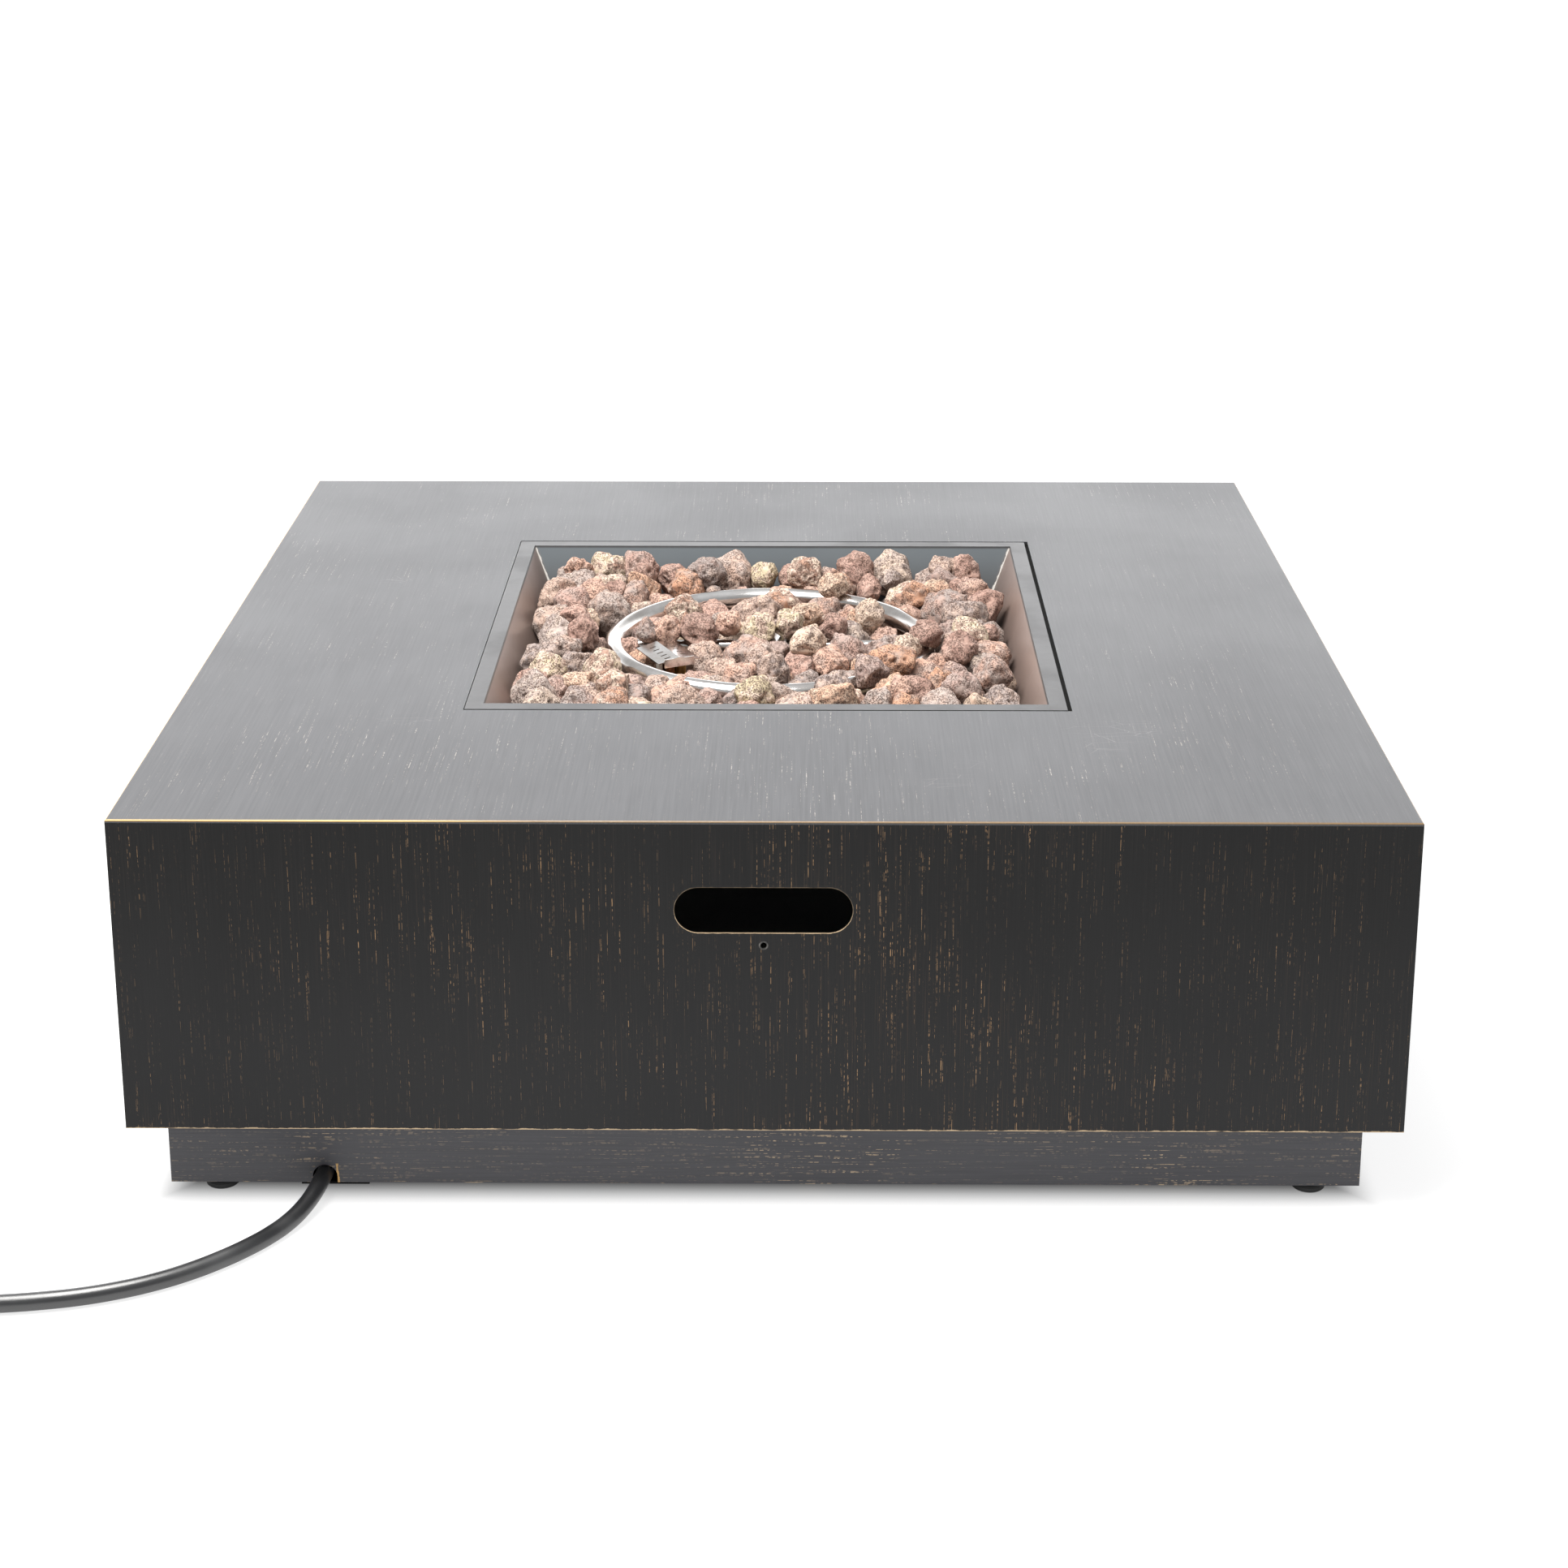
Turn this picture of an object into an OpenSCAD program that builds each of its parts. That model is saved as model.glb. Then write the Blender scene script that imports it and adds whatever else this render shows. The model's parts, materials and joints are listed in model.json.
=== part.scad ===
// Low square gas fire table: a sheet-metal casing on a recessed plinth, with a
// drop-in burner pan of lava rock, its gas train, and a hose with a regulator.
// Millimetres. Z is up, the front faces -Y, and the floor is at z = 0.

/* [Casing] */
// Width and depth of the square top
table_w = 1016; // [900:1:1220]
// Height of the casing, from its bottom edge to the top surface
casing_h = 263; // [220:1:320]
// Thickness of the casing and plinth sheet
sheet_t = 2; // [1.5:0.1:3]
// Thickness of the top plate
top_t = 2.5; // [2:0.1:4]
// Radius of the top plate's worn upper edge
top_edge_r = 1.4; // [0.5:0.1:1.8]
// Width of the inward flange along the casing's bottom edge
casing_flange_w = 62; // [55:1:80]
// Leg of the corner posts and of the angles under the top's edges
angle_leg = 28; // [20:1:34]

/* [Plinth] */
// Height of the plinth
plinth_h = 62; // [50:1:90]
// How far the plinth stands back from the casing
plinth_inset = 27; // [15:1:32]
// Width of the plinth's inward flanges
plinth_flange_w = 24; // [20:1:30]
// Size of the square plates that hold the feet
foot_plate_w = 78; // [70:1:100]
// Distance of each foot from the plinth's left or right face
foot_inset = 38; // [20:1:45]
// Distance of each foot from the plinth's front or back face
foot_set_back = 19; // [17:1:45]

/* [Feet] */
// Clear height that the feet show under the plinth
foot_reveal = 10; // [7:1:16]
// Diameter of a foot's pad
pad_d = 27; // [22:1:34]
// Diameter of a foot's stud
stud_d = 8; // [6:1:10]
// How far a foot can be screwed out
foot_travel = 12; // [6:1:14]

/* [Hand slots] */
// Length of a hand slot
slot_w = 139; // [110:1:170]
// Height of a hand slot
slot_h = 38; // [28:1:44]
// Distance from the top surface to a hand slot's centre
slot_drop = 74; // [60:1:95]
// Distance from a slot's lower edge to the rivet nut's centre
rivet_nut_drop = 10.5; // [8:0.5:20]
// Thread bore of the rivet nut
rivet_nut_bore = 5; // [4:0.5:6]

/* [Burner pan] */
// Side of the square opening in the top
opening_w = 521; // [430:1:630]
// Gap between the pan's rim and the opening's edge when the pan is centred
pan_play = 2.2; // [1.7:0.1:4]
// Width of the pan's flat rim
pan_rim_flat = 15; // [12:1:20]
// Depth of the pan, from the top surface to its floor
pan_depth = 76; // [64:1:95]
// Lean of the pan's walls from upright, in degrees
pan_wall_lean = 23; // [10:1:30]
// Thickness of the pan's sheet
pan_t = 1.6; // [1.2:0.1:2.5]
// Sideways play of the pan in its opening
pan_shift_x = -1.5; // [-1.6:0.1:1.6]
// How far the opening's centre lies behind the middle of the top
opening_y = 8; // [-20:1:20]

/* [Burner] */
// Diameter of the burner ring, through the middle of its tube
ring_d = 293; // [240:1:340]
// Diameter of the burner's tube
ring_tube_d = 19; // [14:1:23]
// Distance from the top surface to the middle of the ring's tube
ring_drop = 25; // [20:1:32]
// Number of gas ports in the ring
port_count = 24; // [12:2:36]
// Length of the perforated pilot hood
hood_l = 52; // [40:1:60]
// Width of the perforated pilot hood
hood_w = 42; // [34:1:50]

/* [Controls] */
// Length of the control recess in the left side
recess_w = 200; // [180:1:240]
// Height of the control recess
recess_h = 100; // [86:1:120]
// Depth of the control recess
recess_depth = 48; // [42:1:60]
// Distance of the recess's centre in front of the table's middle
recess_front = 200; // [120:1:260]
// Height of the recess's centre above the floor
recess_z = 190; // [170:1:205]
// Diameter of the control knob
knob_d = 46; // [36:1:52]
// Travel of the control knob when it is pushed
knob_push = 3; // [2:0.5:4]
// Diameter of the igniter button
button_d = 16; // [12:1:17]
// Travel of the igniter button
button_push = 2.5; // [1.5:0.5:3]

/* [Hose] */
// Outer diameter of the gas hose
hose_d = 14; // [12:0.5:16]
// Width of the notch that the hose leaves by
notch_w = 20; // [17:0.5:26]
// Height of the notch
notch_h = 15.5; // [13:0.5:22]
// Distance of the notch to the left of the middle
notch_left = 356; // [300:1:380]

/* [Lava rock] */
// Spacing of the rocks in the upper layer
rock_pitch = 31; // [28:1:40]
// Spacing of the rocks in the lower layer
bed_pitch = 42; // [36:1:50]
// Gap that is left between two rocks
rock_gap = 0.8; // [0.5:0.1:2]
// How far the highest rocks may stand above the top
rock_heap = 6; // [-1:0.5:12]

/* [Hidden] */

// Facets of round shapes, and the overlap that joins two touching solids
fine = 64;
medium = 32;
eps = 0.01;

// Heights of the main faces
plinth_z0 = foot_reveal;
casing_z0 = plinth_z0 + plinth_h;
top_z = casing_z0 + casing_h;
side_top_z = top_z - top_t;
half_w = table_w / 2;
plinth_half = half_w - plinth_inset;
bolt_line_y = -plinth_half + (plinth_flange_w + sheet_t) / 2;

// Clearances
press_gap = 0.15;
run_gap = 0.05;
bolt_gap = 0.25;

// Fasteners
bolt_d = 6;
bolt_af = 10;
bolt_head_h = 4;
bolt_nut_h = 5;
bracket_bolt_d = 4.5;
plinth_bolt_pitch = 300;

// Hand slots and rivet nut
slot_z = top_z - slot_drop;
rivet_nut_z = slot_z - slot_h / 2 - rivet_nut_drop;
rivet_nut_barrel_d = 7.6;
rivet_nut_l = 12;

// Feet
pad_h = 9;
stud_hold = 10;
stud_l = plinth_z0 + sheet_t + stud_hold + foot_travel;
foot_x = plinth_half - foot_inset;
foot_y = plinth_half - foot_set_back;
foot_plate_t = 4;
foot_boss_h = 12;
foot_boss_d = 18;

// Pan
pan_x = pan_shift_x;
pan_y = opening_y;
pan_rim_w = opening_w - 2 * pan_play;
pan_mouth = pan_rim_w / 2 - pan_rim_flat;
pan_floor_z = top_z - pan_depth;
pan_slope = tan(pan_wall_lean);
pan_floor_half = pan_mouth - pan_depth * pan_slope;
drain_d = 8;
drain_reach = pan_floor_half - 61;

// Rails under the opening
rail_leg_in = 10;
rail_leg_out = 22;
rail_drop = 26;
rail_t = 2.5;

// Heat shield
heat_shield_t = 1.2;
heat_shield_z = pan_floor_z - 34;
hanger_d = 5;
hanger_spacer_d = 10;
hanger_nut_af = 8;
hanger_nut_h = 4;
hanger_reach = pan_floor_half - 16;
heat_shield_w = 2 * (hanger_reach + 25);

// Burner
ring_r = ring_d / 2;
ring_z = top_z - ring_drop;
tube_r = ring_tube_d / 2;
tube_wall = 1.5;
spoke_d = ring_tube_d - 6;
spoke_z = ring_z - (ring_tube_d - spoke_d) / 2;
port_d = 2.4;
port_tilt = 35;
hub_d = 34;
hub_h = 20;
hub_cap = 4;
nipple_d = 17;
nipple_bore = 11;
nipple_z0 = pan_floor_z - 24;
nipple_in = 5;
hub_top = spoke_z + hub_h / 2;
locknut_t = 7;
locknut_af = 28;
mixer_d = 32;
mixer_l = 46;
mixer_wall = 2;
mixer_z1 = pan_floor_z - pan_t - locknut_t - 1;
mixer_z0 = mixer_z1 - mixer_l;
mixer_hole_d = 9;
jet_d = 10;
jet_in = 6;
orifice_af = 16;
orifice_hex_h = 8;
orifice_d = 14;
orifice_bore = 7;
orifice_arm = 24;
orifice_z0 = mixer_z0 - orifice_hex_h - orifice_d;

// Pilot, just inside the ring at the front left
hood_at = [pan_x - 93, pan_y - 60];
hood_turn = 26;
hood_t = 1;
hood_lean = 11;
hood_ridge_z = top_z - 11;
hood_slots = 5;
hood_slot_w = 6;
hood_slot_h = 1.8;
hood_slot_pitch = 8.5;
pilot_leg_t = 1.5;
pilot_leg_w = 20;
pilot_leg_x = -4;
pilot_leg_y = 5;
pilot_leg_z = hood_ridge_z - hood_t - 5;
pilot_foot_z = pan_floor_z + 14;
pilot_xs = [-11, 0, 11];
pilot_y = -5;
pilot_hole_d = 9;

// Controls, on the left side
recess_y = -recess_front;
recess_r = 10;
box_wall = 1.5;
box_flange = 14;
box_face_x = -half_w + sheet_t + recess_depth;
knob_y = recess_y + 42;
button_y = recess_y - 44;
knob_gap = knob_push + 2;
knob_l = 24;
knob_x0 = box_face_x - knob_gap;
stem_d = 8;
stem_flat = 1.5;
stem_reach = 22;
stem_socket = knob_l - 6;
plug_d = 16;
plug_proud = 2;
valve_w = 34;
valve_l = 44;
valve_port_d = 16;
valve_port_l = 14;
valve_x0 = box_face_x + box_wall;
igniter_d = 20;
igniter_l = 38;
igniter_rim = 6;
igniter_rim_t = 3;
igniter_nut_af = 26;
igniter_nut_t = 4;
button_l = 9;
button_proud = 4;

// Gas train inside the casing
pipe_d = 10;
union_d = 13;
union_af = 16;
union_l = 26;
wire_d = 3.2;
lead_d = 2.6;
flex_d = 14;
pilot_tube_d = 5;
lead_z = pan_floor_z - pan_t - 12;
hose_z = 18;
hose_start_y = -plinth_half + 24;
ferrule_d = 16;
ferrule_l = 28;
bracket_t = 2;
bracket_w = 55;
union_y0 = hose_start_y + ferrule_l;
pipe_end = [valve_x0 + valve_l / 2, knob_y, recess_z - valve_w / 2 - valve_port_l];

// Route of the free hose from its ferrule to the coil, then from the coil to the regulator
hose_route = [
  [-356, -457, 18], [-356, -470, 18], [-357, -486, 17.5], [-360, -503, 15], [-366, -521, 11],
  [-375, -540, 8], [-387, -560, 7], [-402, -580, 7], [-420, -599, 7], [-440, -616, 7],
  [-463, -631, 7], [-488, -643, 7], [-514, -652, 7], [-541, -658, 7], [-568, -662, 7],
  [-596, -664, 7], [-624, -665, 7], [-652, -665, 7.5], [-680, -665, 8.5], [-708, -665, 9],
  [-735, -665, 9]
];
tail_route = [
  [-819, -574, 37], [-820, -556, 36], [-821, -538, 33], [-821, -520, 28], [-821, -502, 22],
  [-821, -485, 18.5], [-821, -470, 17], [-821, -456, 17], [-821, -442, 17]
];
coil_at = [-735, -574];
coil_r_out = 91;
coil_r_in = 77;
coil_z0 = 2;
coil_layers = 2;
tie_t = 1.6;
tie_w = 12;
tie_r = 6;
tie_gap = 0.3;
tie_turn = 60;

// Regulator at the hose's far end
reg_x = -821;
reg_y = -384;
reg_z = 17;
reg_d = 64;
reg_h = 34;
reg_fitting_d = 18;
reg_inlet_d = 12;
reg_inlet_y1 = -322;
coupling_d = 33;
coupling_web = 6;
collar_d = reg_inlet_d + 6;
collar_gap = 0.4;
coupling_l = 30;
coupling_y0 = -344;

// Lava rock
bed_r = 27;
rock_r = 26;
bed_seed = 11;
rock_seed = 29;
loose_seed = 5;
rock_top_z = top_z + rock_heap;
heap_rise = 7;
back_rise = 14;
back_row = 62;
hood_dip = 9;
hood_room = 46;
covered_arcs = [[55, 75], [-165, -80], [-60, -5]];
min_rock = 5;

// ---------- shared shapes ----------

module rounded_rect(w, h, r) {
  square([w - 2 * r, h], center = true);
  square([w, h - 2 * r], center = true);
  for (x = [-1, 1], y = [-1, 1])
    translate([x * (w / 2 - r), y * (h / 2 - r)]) circle(r, $fn = fine);
}

module obround(w, h) {
  square([w - h, h], center = true);
  for (x = [-1, 1]) translate([x * (w - h) / 2, 0]) circle(d = h, $fn = fine);
}

// Rods along X and along Y, drawn from the middle of one end
module rod_x(d, l) { rotate([0, 90, 0]) cylinder(d = d, h = l, $fn = fine); }
module rod_y(d, l) { rotate([-90, 0, 0]) cylinder(d = d, h = l, $fn = fine); }

// Rod along Y with twelve flats
module flatted_rod_y(d, l) { rotate([-90, 0, 0]) cylinder(d = d, h = l, $fn = 12); }

// Hexagonal bar across its flats
module hexagon(af, h) { cylinder(d = af / cos(30), h = h, $fn = 6); }

// Turns a front-facing piece to side n: 0 front, 1 right, 2 back, 3 left
module to_side(n) { rotate([0, 0, 90 * n]) children(); }

function unit(v) = v / norm(v);
function lean_on(n, t) = unit(n - (n * t) * t);

// Directions and carried-along normals of a path
function path_dirs(p) = [for (i = [0 : len(p) - 1])
  unit(p[min(i + 1, len(p) - 1)] - p[max(i - 1, 0)])];
function path_normals(t, i = 0, n = [0, 0, 1]) = i >= len(t) ? [] :
  let (m = lean_on(n, t[i])) concat([m], path_normals(t, i + 1, m));

// Tube of diameter d with flat ends along the points p
module tube(p, d, sides = 10) {
  t = path_dirs(p);
  start = abs(t[0][2]) > 0.9 ? [0, 1, 0] : [0, 0, 1];
  n = path_normals(t, 0, start);
  ring = [for (i = [0 : len(p) - 1], k = [0 : sides - 1])
    let (a = 360 * k / sides, b = cross(t[i], n[i]))
    p[i] + d / 2 * (cos(a) * n[i] + sin(a) * b)];
  walls = [for (i = [0 : len(p) - 2], k = [0 : sides - 1])
    let (a = i * sides + k, b = i * sides + (k + 1) % sides)
    each [[a, a + sides, b + sides], [a, b + sides, b]]];
  first = [[for (k = [0 : sides - 1]) k]];
  last = [[for (k = [sides - 1 : -1 : 0]) (len(p) - 1) * sides + k]];
  polyhedron(points = ring, faces = concat(walls, first, last), convexity = 6);
}

// Arc of points from p through a rounded corner: n points on a quadratic curve
function bend(a, b, c, n = 5) = [for (i = [0 : n])
  let (s = i / n) (1 - s) * (1 - s) * a + 2 * s * (1 - s) * b + s * s * c];

// ---------- casing ----------

// Plan outline of one side's sheet, mitred at both ends
module mitred_side(outer, t) {
  polygon([[-outer, -outer], [outer, -outer], [outer - t, -outer + t], [-outer + t, -outer + t]]);
}

// One wall of the casing with its bottom flange
module casing_wall() {
  translate([0, 0, casing_z0]) {
    linear_extrude(side_top_z - casing_z0) mitred_side(half_w, sheet_t);
    linear_extrude(sheet_t) mitred_side(half_w, casing_flange_w);
  }
}

module hand_slot_cut() {
  translate([0, -half_w + sheet_t + 1, slot_z]) rotate([90, 0, 0])
    linear_extrude(sheet_t + 2) obround(slot_w, slot_h);
}

module plinth_bolt_holes() {
  for (x = [-1, 0, 1])
    translate([x * plinth_bolt_pitch, bolt_line_y, casing_z0 - sheet_t - 1])
      cylinder(d = bolt_d + 2 * bolt_gap, h = 2 * sheet_t + 2, $fn = medium);
}

module top_panel() color("dimgray") {
  difference() {
    intersection() {
      rotate([90, 0, 0]) translate([0, 0, -half_w]) linear_extrude(table_w) top_section(top_edge_r);
      rotate([90, 0, 90]) translate([0, 0, -half_w]) linear_extrude(table_w) top_section(top_edge_r);
    }
    translate([-opening_w / 2, opening_y - opening_w / 2, side_top_z - 1])
      cube([opening_w, opening_w, top_t + 2]);
  }
}

// Cross-section of the top plate, its upper edges rounded
module top_section(r) {
  translate([-half_w, side_top_z]) square([table_w, top_t - r]);
  translate([-half_w + r, side_top_z]) square([table_w - 2 * r, top_t]);
  for (x = [-1, 1]) translate([x * (half_w - r), top_z - r]) intersection() {
    circle(r, $fn = medium);
    translate([-r, 0]) square([2 * r, r]);
  }
}

module front_panel() color("#2b2927") {
  difference() {
    casing_wall();
    hand_slot_cut();
    translate([0, -half_w - 1, rivet_nut_z]) flatted_rod_y(rivet_nut_barrel_d, sheet_t + 2);
    plinth_bolt_holes();
  }
}

module back_panel() color("#2b2927") to_side(2) {
  difference() {
    casing_wall();
    hand_slot_cut();
    plinth_bolt_holes();
  }
}

module right_panel() color("#2b2927") to_side(1) {
  difference() {
    casing_wall();
    plinth_bolt_holes();
  }
}

module left_panel() color("#2b2927") {
  difference() {
    to_side(3) difference() { casing_wall(); plinth_bolt_holes(); }
    translate([-half_w - 1, recess_y, recess_z]) rotate([90, 0, 90])
      linear_extrude(sheet_t + 2) rounded_rect(recess_w, recess_h, recess_r);
  }
}

module corner_posts() color("#333130") {
  z0 = casing_z0 + sheet_t;
  for (n = [0 : 3]) to_side(n)
    translate([-half_w + sheet_t, -half_w + sheet_t, z0]) difference() {
      cube([angle_leg, angle_leg, side_top_z - z0]);
      translate([sheet_t, sheet_t, -1]) cube([angle_leg, angle_leg, side_top_z - z0 + 2]);
    }
}

module top_edge_angles() color("#333130") {
  l = 2 * (half_w - sheet_t - angle_leg - 2);
  for (n = [0 : 3]) to_side(n)
    translate([-l / 2, -half_w + sheet_t, side_top_z - angle_leg / 2]) difference() {
      cube([l, angle_leg, angle_leg / 2]);
      translate([-1, sheet_t, -1]) cube([l + 2, angle_leg, angle_leg / 2 - sheet_t + 1]);
    }
}

// Nut with twelve flats on its barrel, which keep it from turning in the front panel
module rivet_nut() color("#8f8a80") {
  translate([0, -half_w, rivet_nut_z]) difference() {
    union() {
      flatted_rod_y(rivet_nut_barrel_d, rivet_nut_l);
      translate([0, sheet_t, 0]) rod_y(rivet_nut_barrel_d + 2.4, 3);
    }
    translate([0, -2, 0]) rod_y(rivet_nut_bore, rivet_nut_l + 4);
  }
}

// ---------- plinth and feet ----------

module plinth_wall() {
  translate([0, 0, plinth_z0]) {
    linear_extrude(plinth_h) mitred_side(plinth_half, sheet_t);
    linear_extrude(sheet_t) mitred_side(plinth_half, plinth_flange_w);
    translate([0, 0, plinth_h - sheet_t]) linear_extrude(sheet_t) mitred_side(plinth_half, plinth_flange_w);
  }
}

module foot_holes() {
  for (sx = [-1, 1], sy = [-1, 1]) translate([sx * foot_x, sy * foot_y, plinth_z0 - 1])
    cylinder(d = foot_boss_d + 2 * press_gap, h = sheet_t + 1.5, $fn = fine);
}

module plinth_side(n) {
  difference() {
    to_side(n) difference() { plinth_wall(); plinth_bolt_holes(); }
    foot_holes();
  }
}

module plinth_front() color("#3a393a") {
  difference() {
    plinth_side(0);
    // the hose's notch, open at the bottom edge, also clears the flange for the hose's fitting
    translate([-notch_left, -plinth_half - 1, plinth_z0]) {
      translate([-notch_w / 2, 0, -1]) cube([notch_w, sheet_t + 2, notch_h - notch_w / 2 + 1]);
      translate([0, 0, notch_h - notch_w / 2]) rod_y(notch_w, sheet_t + 2);
    }
    translate([-notch_left - ferrule_d, -plinth_half + sheet_t, plinth_z0 - 1])
      cube([2 * ferrule_d, plinth_flange_w, sheet_t + 2]);
  }
}

module plinth_back() color("#3a393a") plinth_side(2);
module plinth_left() color("#3a393a") plinth_side(3);
module plinth_right() color("#3a393a") plinth_side(1);

// Plates on the plinth's bottom flanges, each with a threaded boss for a foot
module foot_plates() color("#3a393a") {
  z = plinth_z0 + sheet_t;
  middle = plinth_half - sheet_t - foot_plate_w / 2;
  for (sx = [-1, 1], sy = [-1, 1]) difference() {
    union() {
      translate([sx * middle, sy * middle, z + foot_plate_t / 2])
        cube([foot_plate_w, foot_plate_w, foot_plate_t], center = true);
      translate([sx * foot_x, sy * foot_y, z]) cylinder(d = foot_boss_d, h = foot_boss_h, $fn = fine);
    }
    translate([sx * foot_x, sy * foot_y, z - 1])
      cylinder(d = stud_d + 2 * run_gap, h = foot_boss_h + 2, $fn = fine);
  }
}

// Bolts that hold the casing's flange down on the plinth, each with its nut
module casing_bolts() color("#8f8a80") {
  grip = 2 * sheet_t + bolt_nut_h;
  for (n = [0 : 3], x = [-1, 0, 1]) to_side(n)
    translate([x * plinth_bolt_pitch, bolt_line_y, casing_z0 + sheet_t]) {
      hexagon(bolt_af, bolt_head_h);
      translate([0, 0, -grip]) cylinder(d = bolt_d, h = grip + eps, $fn = medium);
      translate([0, 0, -grip]) hexagon(bolt_af, bolt_nut_h);
    }
}

// One levelling foot: a domed rubber-shod pad on its stud
module foot(sx, sy) color("#151515") {
  neck_r = stud_d / 2 + 1;
  pad_r = pad_d / 2;
  translate([sx * foot_x, sy * foot_y, 0]) {
    rotate_extrude($fn = fine) polygon(concat(
      [[0, 0], [pad_r - 1, 0], [pad_r, 1]],
      [for (a = [0 : 15 : 75]) [neck_r + (pad_r - neck_r) * cos(a), 2 + (pad_h - 2) * sin(a)]],
      [[stud_d / 2, pad_h], [0, pad_h]]));
    cylinder(d = stud_d, h = stud_l, $fn = fine);
  }
}

module foot_front_left() foot(-1, -1);
module foot_front_right() foot(1, -1);
module foot_back_left() foot(-1, 1);
module foot_back_right() foot(1, 1);

// ---------- burner pan ----------

// Angle under one side of the opening: its flat leg is the ledge that the pan's rim rests on
module pan_rail(n) {
  o = opening_w / 2;
  translate([0, opening_y, side_top_z - rail_t]) to_side(n) {
    linear_extrude(rail_t)
      polygon([[-o - rail_leg_out, -o - rail_leg_out], [o + rail_leg_out, -o - rail_leg_out],
        [o - rail_leg_in, -o + rail_leg_in], [-o + rail_leg_in, -o + rail_leg_in]]);
    translate([-o - rail_leg_out + rail_t, -o - rail_leg_out, -rail_drop + rail_t])
      cube([2 * (o + rail_leg_out - rail_t), rail_t, rail_drop]);
  }
}

module pan_rail_front() color("#333130") pan_rail(0);
module pan_rail_right() color("#333130") pan_rail(1);
module pan_rail_back() color("#333130") pan_rail(2);
module pan_rail_left() color("#333130") pan_rail(3);

// Solid under the pan's sloping walls, from half-width a at z0 to b at z1
module pan_taper(a, z0, b, z1) {
  polyhedron(
    points = [for (e = [[a, z0], [b, z1]], c = [[-1, -1], [1, -1], [1, 1], [-1, 1]])
      [c[0] * e[0], c[1] * e[0], e[1]]],
    faces = [[0, 1, 2, 3], [7, 6, 5, 4], [0, 4, 5, 1], [1, 5, 6, 2], [2, 6, 7, 3], [3, 7, 4, 0]]);
}

module burner_pan() color("#5d5a55") {
  wall = pan_t / cos(pan_wall_lean);
  foot_half = pan_floor_half + wall - pan_t * pan_slope;
  neck_half = pan_mouth + wall - top_t * pan_slope / 2;
  translate([pan_x, pan_y, 0]) difference() {
    union() {
      translate([-pan_rim_w / 2, -pan_rim_w / 2, side_top_z]) cube([pan_rim_w, pan_rim_w, top_t]);
      pan_taper(foot_half, pan_floor_z - pan_t, neck_half, side_top_z + top_t / 2);
    }
    pan_taper(pan_floor_half, pan_floor_z, pan_mouth + pan_slope, top_z + 1);
    translate([0, 0, pan_floor_z - pan_t - 1])
      cylinder(d = nipple_d + 2 * bolt_gap, h = pan_t + 2, $fn = fine);
    for (n = [0 : 3]) to_side(n) translate([drain_reach, drain_reach, pan_floor_z - pan_t - 1])
      cylinder(d = drain_d, h = pan_t + 2, $fn = medium);
    for (x = pilot_xs) translate(hood_point(x, pilot_y, pan_floor_z - pan_t - 1) - [pan_x, pan_y, 0])
      cylinder(d = pilot_hole_d, h = pan_t + 2, $fn = medium);
  }
}

module heat_shield() color("#a5a7a8") {
  translate([pan_x, pan_y, heat_shield_z]) difference() {
    translate([-heat_shield_w / 2, -heat_shield_w / 2, 0])
      cube([heat_shield_w, heat_shield_w, heat_shield_t]);
    translate([0, 0, -1]) cylinder(d = mixer_d + 26, h = heat_shield_t + 2, $fn = fine);
    for (n = [0 : 3]) to_side(n) translate([hanger_reach, hanger_reach, -1])
      cylinder(d = hanger_d + 2 * bolt_gap, h = heat_shield_t + 2, $fn = medium);
  }
}

// Studs under the pan's floor, with spacer and nut, that hold the heat shield
module heat_shield_hangers() color("#8f8a80") {
  drop = pan_floor_z - pan_t - heat_shield_z;
  for (n = [0 : 3]) translate([pan_x, pan_y, heat_shield_z]) to_side(n)
    translate([hanger_reach, hanger_reach, 0]) {
    translate([0, 0, -hanger_nut_h - 2]) cylinder(d = hanger_d, h = drop + hanger_nut_h + 2, $fn = medium);
    translate([0, 0, heat_shield_t]) cylinder(d = hanger_spacer_d, h = drop - heat_shield_t, $fn = medium);
    translate([0, 0, -hanger_nut_h]) hexagon(hanger_nut_af, hanger_nut_h);
  }
}

// ---------- burner ----------

module torus(r, d) { rotate_extrude($fn = fine) translate([r, 0]) circle(d = d, $fn = medium); }

module burner_ring() color("#d8d8d4") {
  translate([pan_x, pan_y, ring_z]) difference() {
    union() {
      torus(ring_r, ring_tube_d);
      for (a = [0, 180]) rotate([0, 0, a])
        translate([hub_d / 2 - 2, 0, spoke_z - ring_z]) rod_x(spoke_d, ring_r - hub_d / 2 + 2);
    }
    torus(ring_r, ring_tube_d - 2 * tube_wall);
    for (a = [0, 180]) rotate([0, 0, a]) translate([hub_d / 2 - 3, 0, spoke_z - ring_z])
      rod_x(spoke_d - 2 * tube_wall, ring_r - hub_d / 2 + 3);
    translate([0, 0, -hub_h]) cylinder(d = hub_d + 2 * press_gap, h = 2 * hub_h, $fn = fine);
    for (k = [0 : port_count - 1]) rotate([0, 0, 360 * (k + 0.5) / port_count]) translate([ring_r, 0, 0])
      rotate([0, 180 - port_tilt, 0]) cylinder(d = port_d, h = tube_r + 1, $fn = medium);
  }
}

module burner_hub() color("#c9c9c4") {
  translate([pan_x, pan_y, spoke_z]) difference() {
    translate([0, 0, -hub_h / 2]) cylinder(d = hub_d, h = hub_h, $fn = fine);
    translate([0, 0, -hub_h / 2 - 1])
      cylinder(d = nipple_d + 2 * press_gap, h = hub_h + 1 - hub_cap, $fn = fine);
    translate([-hub_d, 0, 0]) rod_x(spoke_d - 2 * tube_wall, 2 * hub_d);
  }
}

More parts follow.
